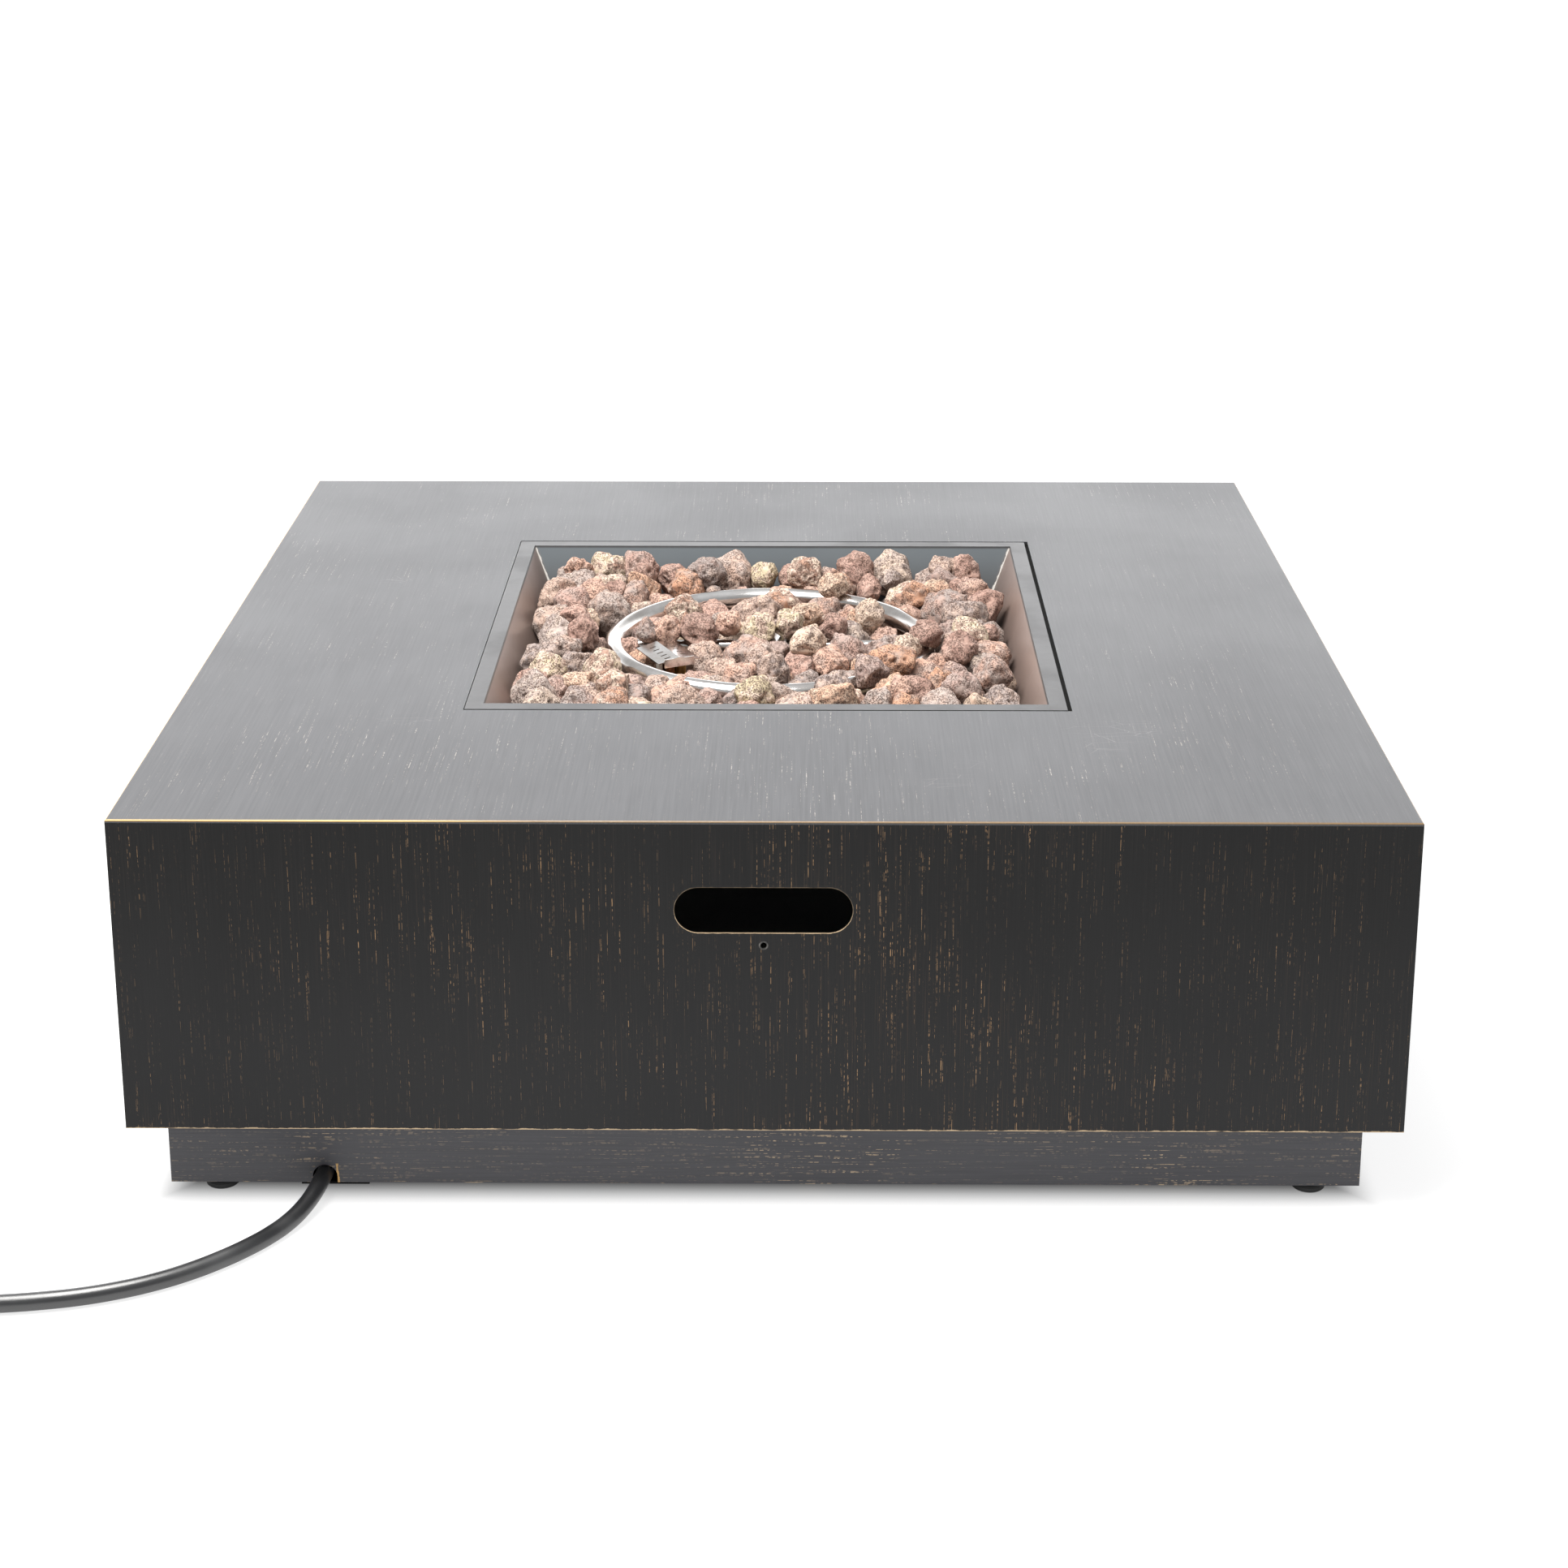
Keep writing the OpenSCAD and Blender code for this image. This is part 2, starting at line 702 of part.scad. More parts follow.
module burner_nipple() color("#b9a46a") {
  z1 = spoke_z - hub_h / 2 + nipple_in;
  translate([pan_x, pan_y, nipple_z0]) difference() {
    cylinder(d = nipple_d, h = z1 - nipple_z0, $fn = fine);
    translate([0, 0, -1]) cylinder(d = nipple_bore, h = z1 - nipple_z0 + 2, $fn = fine);
  }
}

// Nut of width af across its flats, bored to turn on a thread of diameter d
module locknut(af, t, d) {
  difference() {
    hexagon(af, t);
    translate([0, 0, -1]) cylinder(d = d + 2 * press_gap, h = t + 2, $fn = fine);
  }
}

// Locknuts above and below the pan's floor, and the one behind the igniter
module locknuts() color("#b9a46a") {
  for (z = [pan_floor_z, pan_floor_z - pan_t - locknut_t])
    translate([pan_x, pan_y, z]) locknut(locknut_af, locknut_t, nipple_d);
  translate([box_face_x + box_wall, button_y, recess_z]) rotate([0, 90, 0])
    locknut(igniter_nut_af, igniter_nut_t, igniter_d);
}

module air_mixer() color("#b8b8b2") {
  translate([pan_x, pan_y, mixer_z0]) difference() {
    cylinder(d = mixer_d, h = mixer_l, $fn = fine);
    translate([0, 0, 3]) cylinder(d = mixer_d - 2 * mixer_wall, h = mixer_l - 3 - 12, $fn = fine);
    translate([0, 0, mixer_l - 13]) cylinder(d = nipple_d + 2 * press_gap, h = 14, $fn = fine);
    translate([0, 0, -1]) cylinder(d = jet_d + 2 * press_gap, h = 5, $fn = fine);
    for (a = [0, 90]) rotate([0, 0, a]) translate([-mixer_d, 0, 14]) rod_x(mixer_hole_d, 2 * mixer_d);
  }
}

// Brass orifice with the elbow that the flexible connector screws on to
module orifice() color("#c8a85a") {
  translate([pan_x, pan_y, orifice_z0]) difference() {
    union() {
      cylinder(d = orifice_d, h = orifice_d, $fn = fine);
      translate([0, 0, orifice_d]) hexagon(orifice_af, orifice_hex_h);
      translate([0, 0, orifice_d]) cylinder(d = jet_d, h = orifice_hex_h + jet_in, $fn = fine);
      translate([-orifice_arm, 0, orifice_d / 2]) rod_x(orifice_d, orifice_arm);
    }
    translate([0, 0, orifice_d / 2]) cylinder(d = 2, h = 2 * orifice_d + orifice_hex_h, $fn = medium);
    translate([-orifice_arm - 1, 0, orifice_d / 2]) rod_x(orifice_bore, orifice_arm + 2);
  }
}

// ---------- pilot ----------

module at_hood() { translate([hood_at[0], hood_at[1], 0]) rotate([0, 0, hood_turn]) children(); }

// Folded hood with two staggered rows of slots and a short lip at its front end
module pilot_hood() color("#e2e2de") {
  half = hood_w / 2;
  at_hood() difference() {
    union() {
      for (s = [-1, 1]) translate([0, 0, hood_ridge_z]) rotate([0, s * hood_lean, 0])
        translate([s > 0 ? 0 : -half, -hood_l / 2, -hood_t]) cube([half, hood_l, hood_t]);
      translate([-half * 0.7, -hood_l / 2, hood_ridge_z - 9]) cube([half * 1.4, hood_t, 8]);
    }
    for (s = [-1, 1], k = [0 : hood_slots - 1])
      translate([s * half * 0.42, (k - (hood_slots - 1) / 2 + s / 4) * hood_slot_pitch, hood_ridge_z - 8])
        linear_extrude(12) square([hood_slot_w, hood_slot_h], center = true);
  }
}

// Upright on the pan's floor; its top leg carries the hood, pilot, electrode and thermocouple
module pilot_bracket() color("#c9c9c4") {
  z1 = pilot_leg_z;
  at_hood() difference() {
    union() {
      translate([pilot_leg_x, pilot_leg_y, pan_floor_z]) cube([pilot_leg_w, pilot_leg_t, z1 - pan_floor_z]);
      translate([pilot_leg_x, pilot_leg_y, pan_floor_z]) cube([pilot_leg_w, 16, pilot_leg_t]);
      translate([-17, pilot_leg_y - 17, z1 - pilot_leg_t]) cube([34, 17 + pilot_leg_t, pilot_leg_t]);
    }
    for (x = pilot_xs) translate([x, pilot_y, z1 - pilot_leg_t - 1])
      cylinder(d = 6 + 2 * press_gap, h = pilot_leg_t + 2, $fn = fine);
    translate([pilot_leg_x + pilot_leg_w - 6, pilot_leg_y - 1, z1 - 10])
      rod_y(bracket_bolt_d, pilot_leg_t + 2);
    translate([pilot_leg_x + pilot_leg_w / 2, pilot_leg_y + 10, pan_floor_z - 1])
      cylinder(d = bracket_bolt_d, h = pilot_leg_t + 2, $fn = medium);
  }
}

module pilot_rod(x, z0, z1, d) {
  at_hood() translate([x, pilot_y, z0]) cylinder(d = d, h = z1 - z0, $fn = fine);
}

module igniter_electrode() color("#efeae0") {
  pilot_rod(pilot_xs[0], pilot_foot_z, pilot_leg_z - 2, 6);
  pilot_rod(pilot_xs[0], pilot_foot_z, pilot_leg_z + 2.5, 1.6);
}

module thermocouple() color("#b87a4a") {
  pilot_rod(pilot_xs[1], pilot_foot_z, pilot_leg_z + 2, 5);
  pilot_rod(pilot_xs[1], pilot_foot_z + 8, pilot_leg_z - 6, 8);
}

module pilot_burner() color("#b9a46a") {
  pilot_rod(pilot_xs[2], pilot_foot_z, pilot_leg_z + 2, 6);
  pilot_rod(pilot_xs[2], pilot_leg_z - 24, pilot_leg_z - pilot_leg_t, 9);
}

// ---------- controls ----------

module control_box() color("#1c1c1c") {
  difference() {
    union() {
      translate([-half_w + sheet_t, recess_y, recess_z]) rotate([90, 0, 90]) {
        linear_extrude(box_wall)
          rounded_rect(recess_w + 2 * box_flange, recess_h + 2 * box_flange, recess_r);
        linear_extrude(recess_depth + box_wall)
          rounded_rect(recess_w, recess_h, recess_r);
      }
    }
    translate([-half_w, recess_y, recess_z]) rotate([90, 0, 90])
      linear_extrude(sheet_t + recess_depth)
        rounded_rect(recess_w - 2 * box_wall, recess_h - 2 * box_wall, recess_r - box_wall);
    translate([box_face_x - 1, knob_y, recess_z]) rod_x(plug_d + 2 * press_gap, box_wall + 2);
    translate([box_face_x - 1, button_y, recess_z]) rod_x(igniter_d + 2 * press_gap, box_wall + 2);
  }
}

// Valve body behind the recess: inlet below, outlet behind, bored for its plug
module gas_valve() color("#a08a5a") {
  difference() {
    union() {
      translate([valve_x0, knob_y - valve_w / 2, recess_z - valve_w / 2]) cube([valve_l, valve_w, valve_w]);
      translate(pipe_end) cylinder(d = valve_port_d, h = valve_port_l + 1, $fn = fine);
      translate([pipe_end[0], knob_y + valve_w / 2 - 1, recess_z]) rod_y(valve_port_d, valve_port_l + 1);
    }
    translate([valve_x0 - 1, knob_y, recess_z]) rod_x(plug_d + 2 * run_gap, valve_l - 5);
    translate(pipe_end - [0, 0, 1]) cylinder(d = orifice_bore, h = valve_port_l + 2, $fn = medium);
    translate([pipe_end[0], knob_y + valve_w / 2 - 2, recess_z]) rod_y(orifice_bore, valve_port_l + 3);
  }
}

// Turning plug of the valve, bored for the stem that slides through it
module valve_plug() color("#c8a85a") {
  translate([box_face_x - plug_proud, knob_y, recess_z]) difference() {
    rod_x(plug_d, plug_proud + box_wall + valve_l - 8);
    translate([-1, 0, 0]) rod_x(stem_d + 2 * run_gap, plug_proud + stem_reach + knob_push + 5);
  }
}

module valve_stem() color("#b8b8b2") {
  translate([knob_x0 - stem_socket, knob_y, recess_z]) difference() {
    rod_x(stem_d, stem_socket + knob_gap + stem_reach);
    translate([-1, -stem_d, stem_d / 2 - stem_flat]) cube([stem_socket + 2, 2 * stem_d, stem_d]);
  }
}

// Knob with a grip bar and a pointer groove, pressed on the stem's flat
module control_knob() color("#161616") {
  skirt_h = 8;
  grip_d = knob_d - 9;
  grip_w = 13;
  translate([knob_x0, knob_y, recess_z]) rotate([0, -90, 0]) difference() {
    union() {
      cylinder(d = knob_d, h = skirt_h, $fn = fine);
      translate([0, 0, skirt_h - eps]) cylinder(d1 = grip_d + 3, d2 = grip_d, h = 3, $fn = fine);
      intersection() {
        cylinder(d = grip_d, h = knob_l, $fn = fine);
        translate([-knob_d / 2, -grip_w / 2, 0]) cube([knob_d, grip_w, knob_l]);
      }
    }
    translate([grip_d / 2 - 10.5, -1, knob_l - 1.5]) cube([12, 2, 3]);
    translate([0, 0, -1]) intersection() {
      cylinder(d = stem_d + 2 * press_gap, h = stem_socket + 1 + press_gap, $fn = fine);
      translate([-stem_d, -stem_d, 0])
        cube([1.5 * stem_d - stem_flat + press_gap, 2 * stem_d, knob_l]);
    }
  }
}

module igniter_body() color("#222222") {
  difference() {
    union() {
      translate([box_face_x - igniter_rim_t, button_y, recess_z])
        rod_x(button_d + 2 * igniter_rim, igniter_rim_t);
      translate([box_face_x - 1, button_y, recess_z]) rod_x(igniter_d, igniter_l);
    }
    translate([box_face_x - igniter_rim_t - 1, button_y, recess_z])
      rod_x(button_d + 2 * bolt_gap, igniter_rim_t + 1 + button_l + button_push + 5.5);
  }
}

module igniter_button() color("#9b1f17") {
  proud = igniter_rim_t + button_proud + button_push;
  translate([box_face_x - proud, button_y, recess_z]) rod_x(button_d, proud + button_l);
}

// ---------- gas train ----------

module inlet_pipe() color("#3c3c3e") {
  y0 = union_y0 + union_l;
  a = [-notch_left, y0, hose_z];
  b = [-notch_left, y0 + 60, hose_z];
  c = [pipe_end[0], pipe_end[1], 40];
  tube(concat([a], bend(a + [0, 22, 0], b, b + [-24, 24, 6]),
    bend(c + [34, -34, -14], c + [0, 0, -14], c + [0, 0, 34]), [pipe_end]), pipe_d);
}

module inlet_union() color("#c8a85a") {
  translate([-notch_left, union_y0, hose_z]) difference() {
    union() {
      rod_y(union_d, union_l);
      translate([0, 4, 0]) rotate([-90, 0, 0]) hexagon(union_af, 12);
    }
    translate([0, -1, 0]) rod_y(7, union_l + 2);
  }
}

// Plate under the notch that the hose lies over, turned up at its back to hold the hose's union
module hose_bracket() color("#202022") {
  y0 = -plinth_half + 1;
  l = union_y0 + 4 - y0;
  shift = 8;
  translate([-notch_left, y0, plinth_z0 - bracket_t]) difference() {
    union() {
      translate([shift - bracket_w / 2, 0, 0]) cube([bracket_w, l, bracket_t]);
      translate([-ferrule_d, l - bracket_t, 0]) cube([2 * ferrule_d, bracket_t, 28]);
    }
    translate([0, l - bracket_t - 1, hose_z - plinth_z0 + bracket_t])
      rod_y(union_d + 2 * press_gap, bracket_t + 2);
    translate([shift + bracket_w / 2 - 9, 14, -1]) cylinder(d = 5, h = bracket_t + 2, $fn = medium);
  }
}

module hose_ferrule() color("#b8b8b2") {
  translate([-notch_left, hose_start_y, hose_z]) difference() {
    union() {
      rod_y(ferrule_d - 1.5, ferrule_l);
      for (k = [0 : 2]) translate([0, 3 + 5 * k, 0]) rod_y(ferrule_d, 3);
    }
    translate([0, -1, 0]) rod_y(9, ferrule_l + 2);
  }
}

module flex_connector() color("#b8b8b2") {
  a = [pipe_end[0], knob_y + valve_w / 2 + valve_port_l, recess_z];
  o = [pan_x - orifice_arm, pan_y, orifice_z0 + orifice_d / 2];
  m = [a[0] + 150, 0.4 * a[1] + 0.6 * o[1] + 40, recess_z - 26];
  tube(concat([a, a + [0, 14, 0]], bend(a + [0, 26, 0], a + [0, 100, -4], m, 8),
    bend(m + [26, 4, -4], [o[0] - 120, o[1], o[2] - 12], o - [30, 0, 0], 7), [o]), flex_d);
}

// Route of a lead from a on the controls, over the heat shield at height z, then up through
// the pan's floor to x under the hood
function lead_route(a, z, x, side) =
  let (e = hood_point(x, pilot_y, pilot_foot_z), m = [a[0] + 90, a[1] + 26, z])
  concat([a, a + [10, 0, 0]], bend(a + [22, 0, 0], a + [60, 0, 0.8 * (z - a[2])], m, 6),
    bend([e[0] - 26, e[1] + side, z], [e[0], e[1], z], [e[0], e[1], z + 14], 6), [e]);

module ignition_wire() color("#c8432a") {
  start = [box_face_x - 1 + igniter_l, button_y, recess_z];
  tube(lead_route(start, lead_z, pilot_xs[0], -8), wire_d, 8);
}

module thermocouple_lead() color("#b87a4a") {
  start = [valve_x0 + valve_l, knob_y - 9, recess_z + 6];
  tube(lead_route(start, lead_z, pilot_xs[1], 2), lead_d, 8);
}

module pilot_tube() color("#b8b8b2") {
  start = [valve_x0 + valve_l, knob_y + 9, recess_z + 6];
  tube(lead_route(start, lead_z - 7, pilot_xs[2], 10), pilot_tube_d, 8);
}

// ---------- hose and regulator ----------

module gas_hose() color("#101010") tube(hose_route, hose_d);
module gas_hose_tail() color("#101010") tube(tail_route, hose_d);

// Outer shape of the wound hose: two turns wide and two high, with the start of a third layer
module hose_coil() color("#101010") {
  translate([coil_at[0], coil_at[1], coil_z0]) {
    rotate_extrude($fn = fine) coil_section(coil_layers);
    rotate([0, 0, 180]) rotate_extrude(angle = 150, $fn = fine)
      translate([(coil_r_in + coil_r_out) / 2, (coil_layers + 0.5) * hose_d - eps])
        square([hose_d, hose_d], center = true);
  }
}

module coil_section(layers) {
  r = hose_d / 2;
  h = layers * hose_d;
  translate([coil_r_in - r, r]) square([coil_r_out - coil_r_in + 2 * r, h - 2 * r]);
  translate([coil_r_in, 0]) square([coil_r_out - coil_r_in, h]);
  for (x = [coil_r_in, coil_r_out], z = [r, h - r]) translate([x, z]) circle(r, $fn = medium);
}

// Strap round the coil
module hose_tie() color("#262626") {
  w = coil_r_out - coil_r_in + hose_d + 2 * tie_gap;
  h = coil_layers * hose_d + 2 * tie_gap;
  translate([coil_at[0], coil_at[1], coil_z0]) rotate([0, 0, tie_turn])
    translate([(coil_r_in + coil_r_out) / 2, tie_w / 2, h / 2 - tie_gap]) rotate([90, 0, 0])
      linear_extrude(tie_w) difference() {
        rounded_rect(w + 2 * tie_t, h + 2 * tie_t, tie_r);
        rounded_rect(w, h, tie_r - tie_t);
      }
}

// Regulator: hose fitting, round body with its cap and vent, and the inlet nipple with a collar
module regulator() color("#7c7f82") {
  fit_y0 = tail_route[len(tail_route) - 1][1];
  r = reg_d / 2;
  translate([reg_x, reg_y, 0]) rotate_extrude($fn = fine) polygon([[0, 0], [r - 8, 0], [r - 5, 2],
    [r - 5, 14], [r, 15.2], [r, 19], [r - 3, 20.5], [r - 8, 27.5], [14, reg_h - 3], [12, reg_h], [0, reg_h]]);
  translate([reg_x, fit_y0, reg_z]) rod_y(reg_fitting_d, reg_y - fit_y0);
  translate([reg_x, reg_y, reg_z]) rod_y(reg_fitting_d, reg_d / 2 + 5);
  translate([reg_x, reg_y, reg_z]) rod_y(reg_inlet_d, reg_inlet_y1 - reg_y);
  translate([reg_x, coupling_y0 + coupling_web + collar_gap, reg_z]) rod_y(collar_d, 3);
}

// Hand-wheel nut that turns on the nipple, ribbed for the fingers
module coupling_nut() color("#181818") {
  ribs = 16;
  r = coupling_d / 2;
  translate([reg_x, coupling_y0, reg_z]) rotate([-90, 0, 0]) difference() {
    union() {
      cylinder(r = r - 1, h = coupling_l, $fn = fine);
      for (k = [0 : ribs - 1]) rotate([0, 0, 360 * k / ribs]) translate([r - 1.4, 0, 2])
        cylinder(r = 1.3, h = coupling_l - 6, $fn = medium);
    }
    translate([0, 0, -1]) cylinder(d = reg_inlet_d + 2 * run_gap, h = 8, $fn = fine);
    translate([0, 0, coupling_web]) cylinder(d = collar_d + 2 * collar_gap, h = coupling_l, $fn = fine);
  }
}

// ---------- lava rock ----------

// Twelve directions of an icosahedron and its faces
phi = (1 + sqrt(5)) / 2;
ico = [for (p = [[0, 1, phi], [0, -1, phi], [0, 1, -phi], [0, -1, -phi], [1, phi, 0], [-1, phi, 0],
  [1, -phi, 0], [-1, -phi, 0], [phi, 0, 1], [phi, 0, -1], [-phi, 0, 1], [-phi, 0, -1]]) unit(p)];
ico_faces = [[0, 8, 1], [0, 4, 8], [0, 5, 4], [0, 10, 5], [0, 1, 10], [1, 6, 7], [1, 8, 6], [8, 9, 6],
  [8, 4, 9], [4, 2, 9], [4, 5, 2], [5, 11, 2], [5, 10, 11], [10, 7, 11], [10, 1, 7], [3, 2, 11], [3, 9, 2],
  [3, 6, 9], [3, 7, 6], [3, 11, 7]];

// Jittered grid of rock centres, as [x, y, z, wanted radius, turn], over a square of half-width half
function rock_grid(half, pitch, z, dz, r, seed) =
  let (n = floor(2 * half / pitch), step = 2 * half / n, v = rands(-1, 1, 5 * n * n, seed))
  [for (i = [0 : n - 1], j = [0 : n - 1]) let (k = 5 * (i * n + j), row = j % 2 ? 0.22 : -0.22)
    [pan_x - half + (i + 0.5 + row + 0.24 * v[k]) * step, pan_y - half + (j + 0.5 + 0.24 * v[k + 1]) * step,
      z + dz * v[k + 2], r * (1 + 0.3 * v[k + 3]), 180 * v[k + 4]]];

function at(s) = [s[0], s[1], s[2]];

// Points on the pieces that the rocks lie round: ring, spokes, hub, nipple and pilot, as [point, radius]
function ring_point(a) = [pan_x + ring_r * cos(a), pan_y + ring_r * sin(a), ring_z];
function clear_points(p) =
  let (a = atan2(p[1] - pan_y, p[0] - pan_x), d = p - [pan_x, pan_y, ring_z])
  concat(
    [for (k = [-4 : 4]) [ring_point(a + 5 * k), tube_r]],
    abs(d[0]) < ring_r ? [for (k = [-1 : 1]) [[p[0] + 9 * k, pan_y, spoke_z], spoke_d / 2 + 1]] : [],
    [for (z = [pan_floor_z, min(p[2], spoke_z), spoke_z])
      let (beside = norm([d[0], d[1]]) > hub_d / 2, low = z < spoke_z - hub_h / 2)
      [[pan_x, pan_y, z], low ? locknut_af * 0.6 : beside ? hub_d / 2 + 1 : hub_h / 2 + 1]],
    [for (x = [-1, 0, 1], y = [-1, 0, 1])
      [hood_point(x * hood_w / 2.2, y * hood_l / 2.2, hood_ridge_z - 4), 6]],
    [for (x = [-10, 2, 14], y = [-12, -4, 6, 14]) [hood_point(x, y, min(p[2], hood_ridge_z - 10)), 6]]);
function hood_point(x, y, z) = [hood_at[0] + x * cos(hood_turn) - y * sin(hood_turn),
  hood_at[1] + x * sin(hood_turn) + y * cos(hood_turn), z];

// Limits of a rock at s as [normal, distance]: half-way to its neighbours, the pan, the top and the burner
function pan_planes(p) =
  let (c = cos(pan_wall_lean), s = sin(pan_wall_lean), m = pan_mouth - pan_slope * (top_z - p[2]))
  [for (w = [[1, 0, m - (p[0] - pan_x)], [-1, 0, m + (p[0] - pan_x)], [0, 1, m - (p[1] - pan_y)],
    [0, -1, m + (p[1] - pan_y)]]) [[w[0] * c, w[1] * c, -s], w[2] * c - 1.5]];
function rest_z(s) = ring_distance(s) < hub_d / 2 + rock_r && s[2] > hub_top + min_rock
  ? hub_top + rock_gap : pan_floor_z + 0.5;
function rock_planes(s, all) = concat(
  [for (o = all) let (d = at(o) - at(s), l = norm(d)) if (l > 0.1 && l < s[3] + o[3] + 4)
    [d / l, l * s[3] / (s[3] + o[3]) - rock_gap / 2]],
  pan_planes(at(s)),
  [[[0, 0, -1], s[2] - rest_z(s)], [[0, 0, 1], rock_top_z - s[2]]],
  [for (q = clear_points(at(s))) let (d = q[0] - at(s), l = norm(d)) if (l < s[3] + 40)
    [d / max(l, 0.1), l - q[1] - 0.8]]);

// Squashed, turned and roughened reach of a rock along direction v
function rough(s, v, k) =
  let (a = s[4], f = 1 - 0.28 * pow(v * [cos(a), sin(a), 0.3], 2))
  s[3] * f * (0.94 + 0.12 * sin(137 * k + 3 * a));
function reach(s, v, k, planes) = min(concat([rough(s, v, k)],
  [for (q = planes) let (c = v * q[0]) if (c > 0.05) q[1] / c]));

module rock(s, planes) {
  dirs = [for (v = ico) [v[0] * cos(s[4]) - v[1] * sin(s[4]), v[0] * sin(s[4]) + v[1] * cos(s[4]), v[2]]];
  polyhedron(points = [for (k = [0 : 11]) at(s) + dirs[k] * reach(s, dirs[k], k, planes)], faces = ico_faces);
}

// True near the arcs of the ring that rocks lie on
function covered(s) =
  let (a = atan2(s[1] - pan_y, s[0] - pan_x))
  [for (arc = covered_arcs) if (a > arc[0] && a < arc[1]) a] != [];
// Height of an upper rock: up on the spokes and the covered arcs, heaped outside the ring, low by the pilot
function heaped_z(s) =
  let (off = ring_distance(s) - ring_r)
  norm([s[0] - hood_at[0], s[1] - hood_at[1]]) < hood_room ? s[2] - hood_dip
    : abs(off) < 1.5 * tube_r && covered(s) ? (ring_z + tube_r + top_z) / 2
    : off < -tube_r && abs(s[1] - pan_y) < hub_d / 2 ? (hub_top + top_z) / 2
    : s[1] > pan_y + pan_mouth - back_row ? s[2] + back_rise
    : off > 2 * tube_r ? s[2] + heap_rise : s[2];
function upper_sites() = concat(
  [for (s = rock_grid(pan_mouth - 30, rock_pitch, ring_z - 8, 6, rock_r, rock_seed))
    [s[0], s[1], heaped_z(s), s[3], s[4]]],
  [for (s = rock_grid(pan_mouth - 34, 1.8 * rock_pitch, top_z - 15, 5, 0.8 * rock_r, loose_seed))
    if (covered(s) || abs(ring_distance(s) - ring_r) > 3 * tube_r) s]);
function bed_sites() = rock_grid(pan_floor_half - 8, bed_pitch, pan_floor_z + 17, 3, bed_r, bed_seed);
function ring_distance(s) = norm([s[0] - pan_x, s[1] - pan_y]);

// Draws the rocks of sites whose distance from the burner's middle lies between near and far
module rocks(sites, all, near, far) {
  for (s = sites) if (ring_distance(s) >= near && ring_distance(s) < far) {
    planes = rock_planes(s, all);
    room = min([for (q = planes) q[1]]);
    if (room > min_rock) rock(s, planes);
  }
}

module lava_rocks_bed() color("#7d6a60") {
  all = concat(bed_sites(), upper_sites());
  rocks(bed_sites(), all, 0, table_w);
}
module lava_rocks_outer() color("#b9a093") {
  all = concat(bed_sites(), upper_sites());
  rocks(upper_sites(), all, ring_r, table_w);
}
module lava_rocks_inner() color("#b9a093") {
  all = concat(bed_sites(), upper_sites());
  rocks(upper_sites(), all, 0, ring_r);
}

// ---------- the part ----------

top_panel();
front_panel();
back_panel();
left_panel();
right_panel();
corner_posts();
top_edge_angles();
rivet_nut();
plinth_front();
plinth_back();
plinth_left();
plinth_right();
foot_plates();
casing_bolts();
foot_front_left();
foot_front_right();
foot_back_left();
foot_back_right();
pan_rail_front();
pan_rail_back();
pan_rail_left();
pan_rail_right();
burner_pan();
heat_shield();
heat_shield_hangers();
burner_ring();
burner_hub();
burner_nipple();
locknuts();
air_mixer();
orifice();
pilot_hood();
pilot_bracket();
pilot_burner();
igniter_electrode();
thermocouple();
control_box();
gas_valve();
valve_plug();
valve_stem();
control_knob();
igniter_body();
igniter_button();
ignition_wire();
thermocouple_lead();
pilot_tube();
inlet_pipe();
inlet_union();
hose_bracket();
hose_ferrule();
flex_connector();
gas_hose();
hose_coil();
hose_tie();
gas_hose_tail();
regulator();
coupling_nut();
lava_rocks_bed();
lava_rocks_outer();
lava_rocks_inner();
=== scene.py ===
"""Low square gas fire table: hose, lava rock, finishes, studio and camera around the fixed frame."""
import json
import math

import bpy
import numpy as np
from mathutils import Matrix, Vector


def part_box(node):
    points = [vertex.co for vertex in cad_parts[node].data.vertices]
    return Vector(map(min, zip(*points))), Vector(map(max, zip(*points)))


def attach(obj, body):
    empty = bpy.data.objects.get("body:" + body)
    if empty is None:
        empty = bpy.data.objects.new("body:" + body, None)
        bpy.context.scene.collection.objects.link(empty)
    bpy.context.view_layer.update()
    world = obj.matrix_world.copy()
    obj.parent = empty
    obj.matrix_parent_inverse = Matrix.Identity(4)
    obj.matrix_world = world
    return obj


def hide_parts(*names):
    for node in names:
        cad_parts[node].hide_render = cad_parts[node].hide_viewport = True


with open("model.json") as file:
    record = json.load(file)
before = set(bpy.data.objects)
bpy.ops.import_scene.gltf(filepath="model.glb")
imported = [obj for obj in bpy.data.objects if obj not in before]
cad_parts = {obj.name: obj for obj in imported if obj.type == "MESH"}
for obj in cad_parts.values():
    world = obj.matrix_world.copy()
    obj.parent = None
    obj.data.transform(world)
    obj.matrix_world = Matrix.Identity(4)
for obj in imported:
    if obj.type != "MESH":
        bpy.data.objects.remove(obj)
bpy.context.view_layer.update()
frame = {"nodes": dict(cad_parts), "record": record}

MM = 0.001

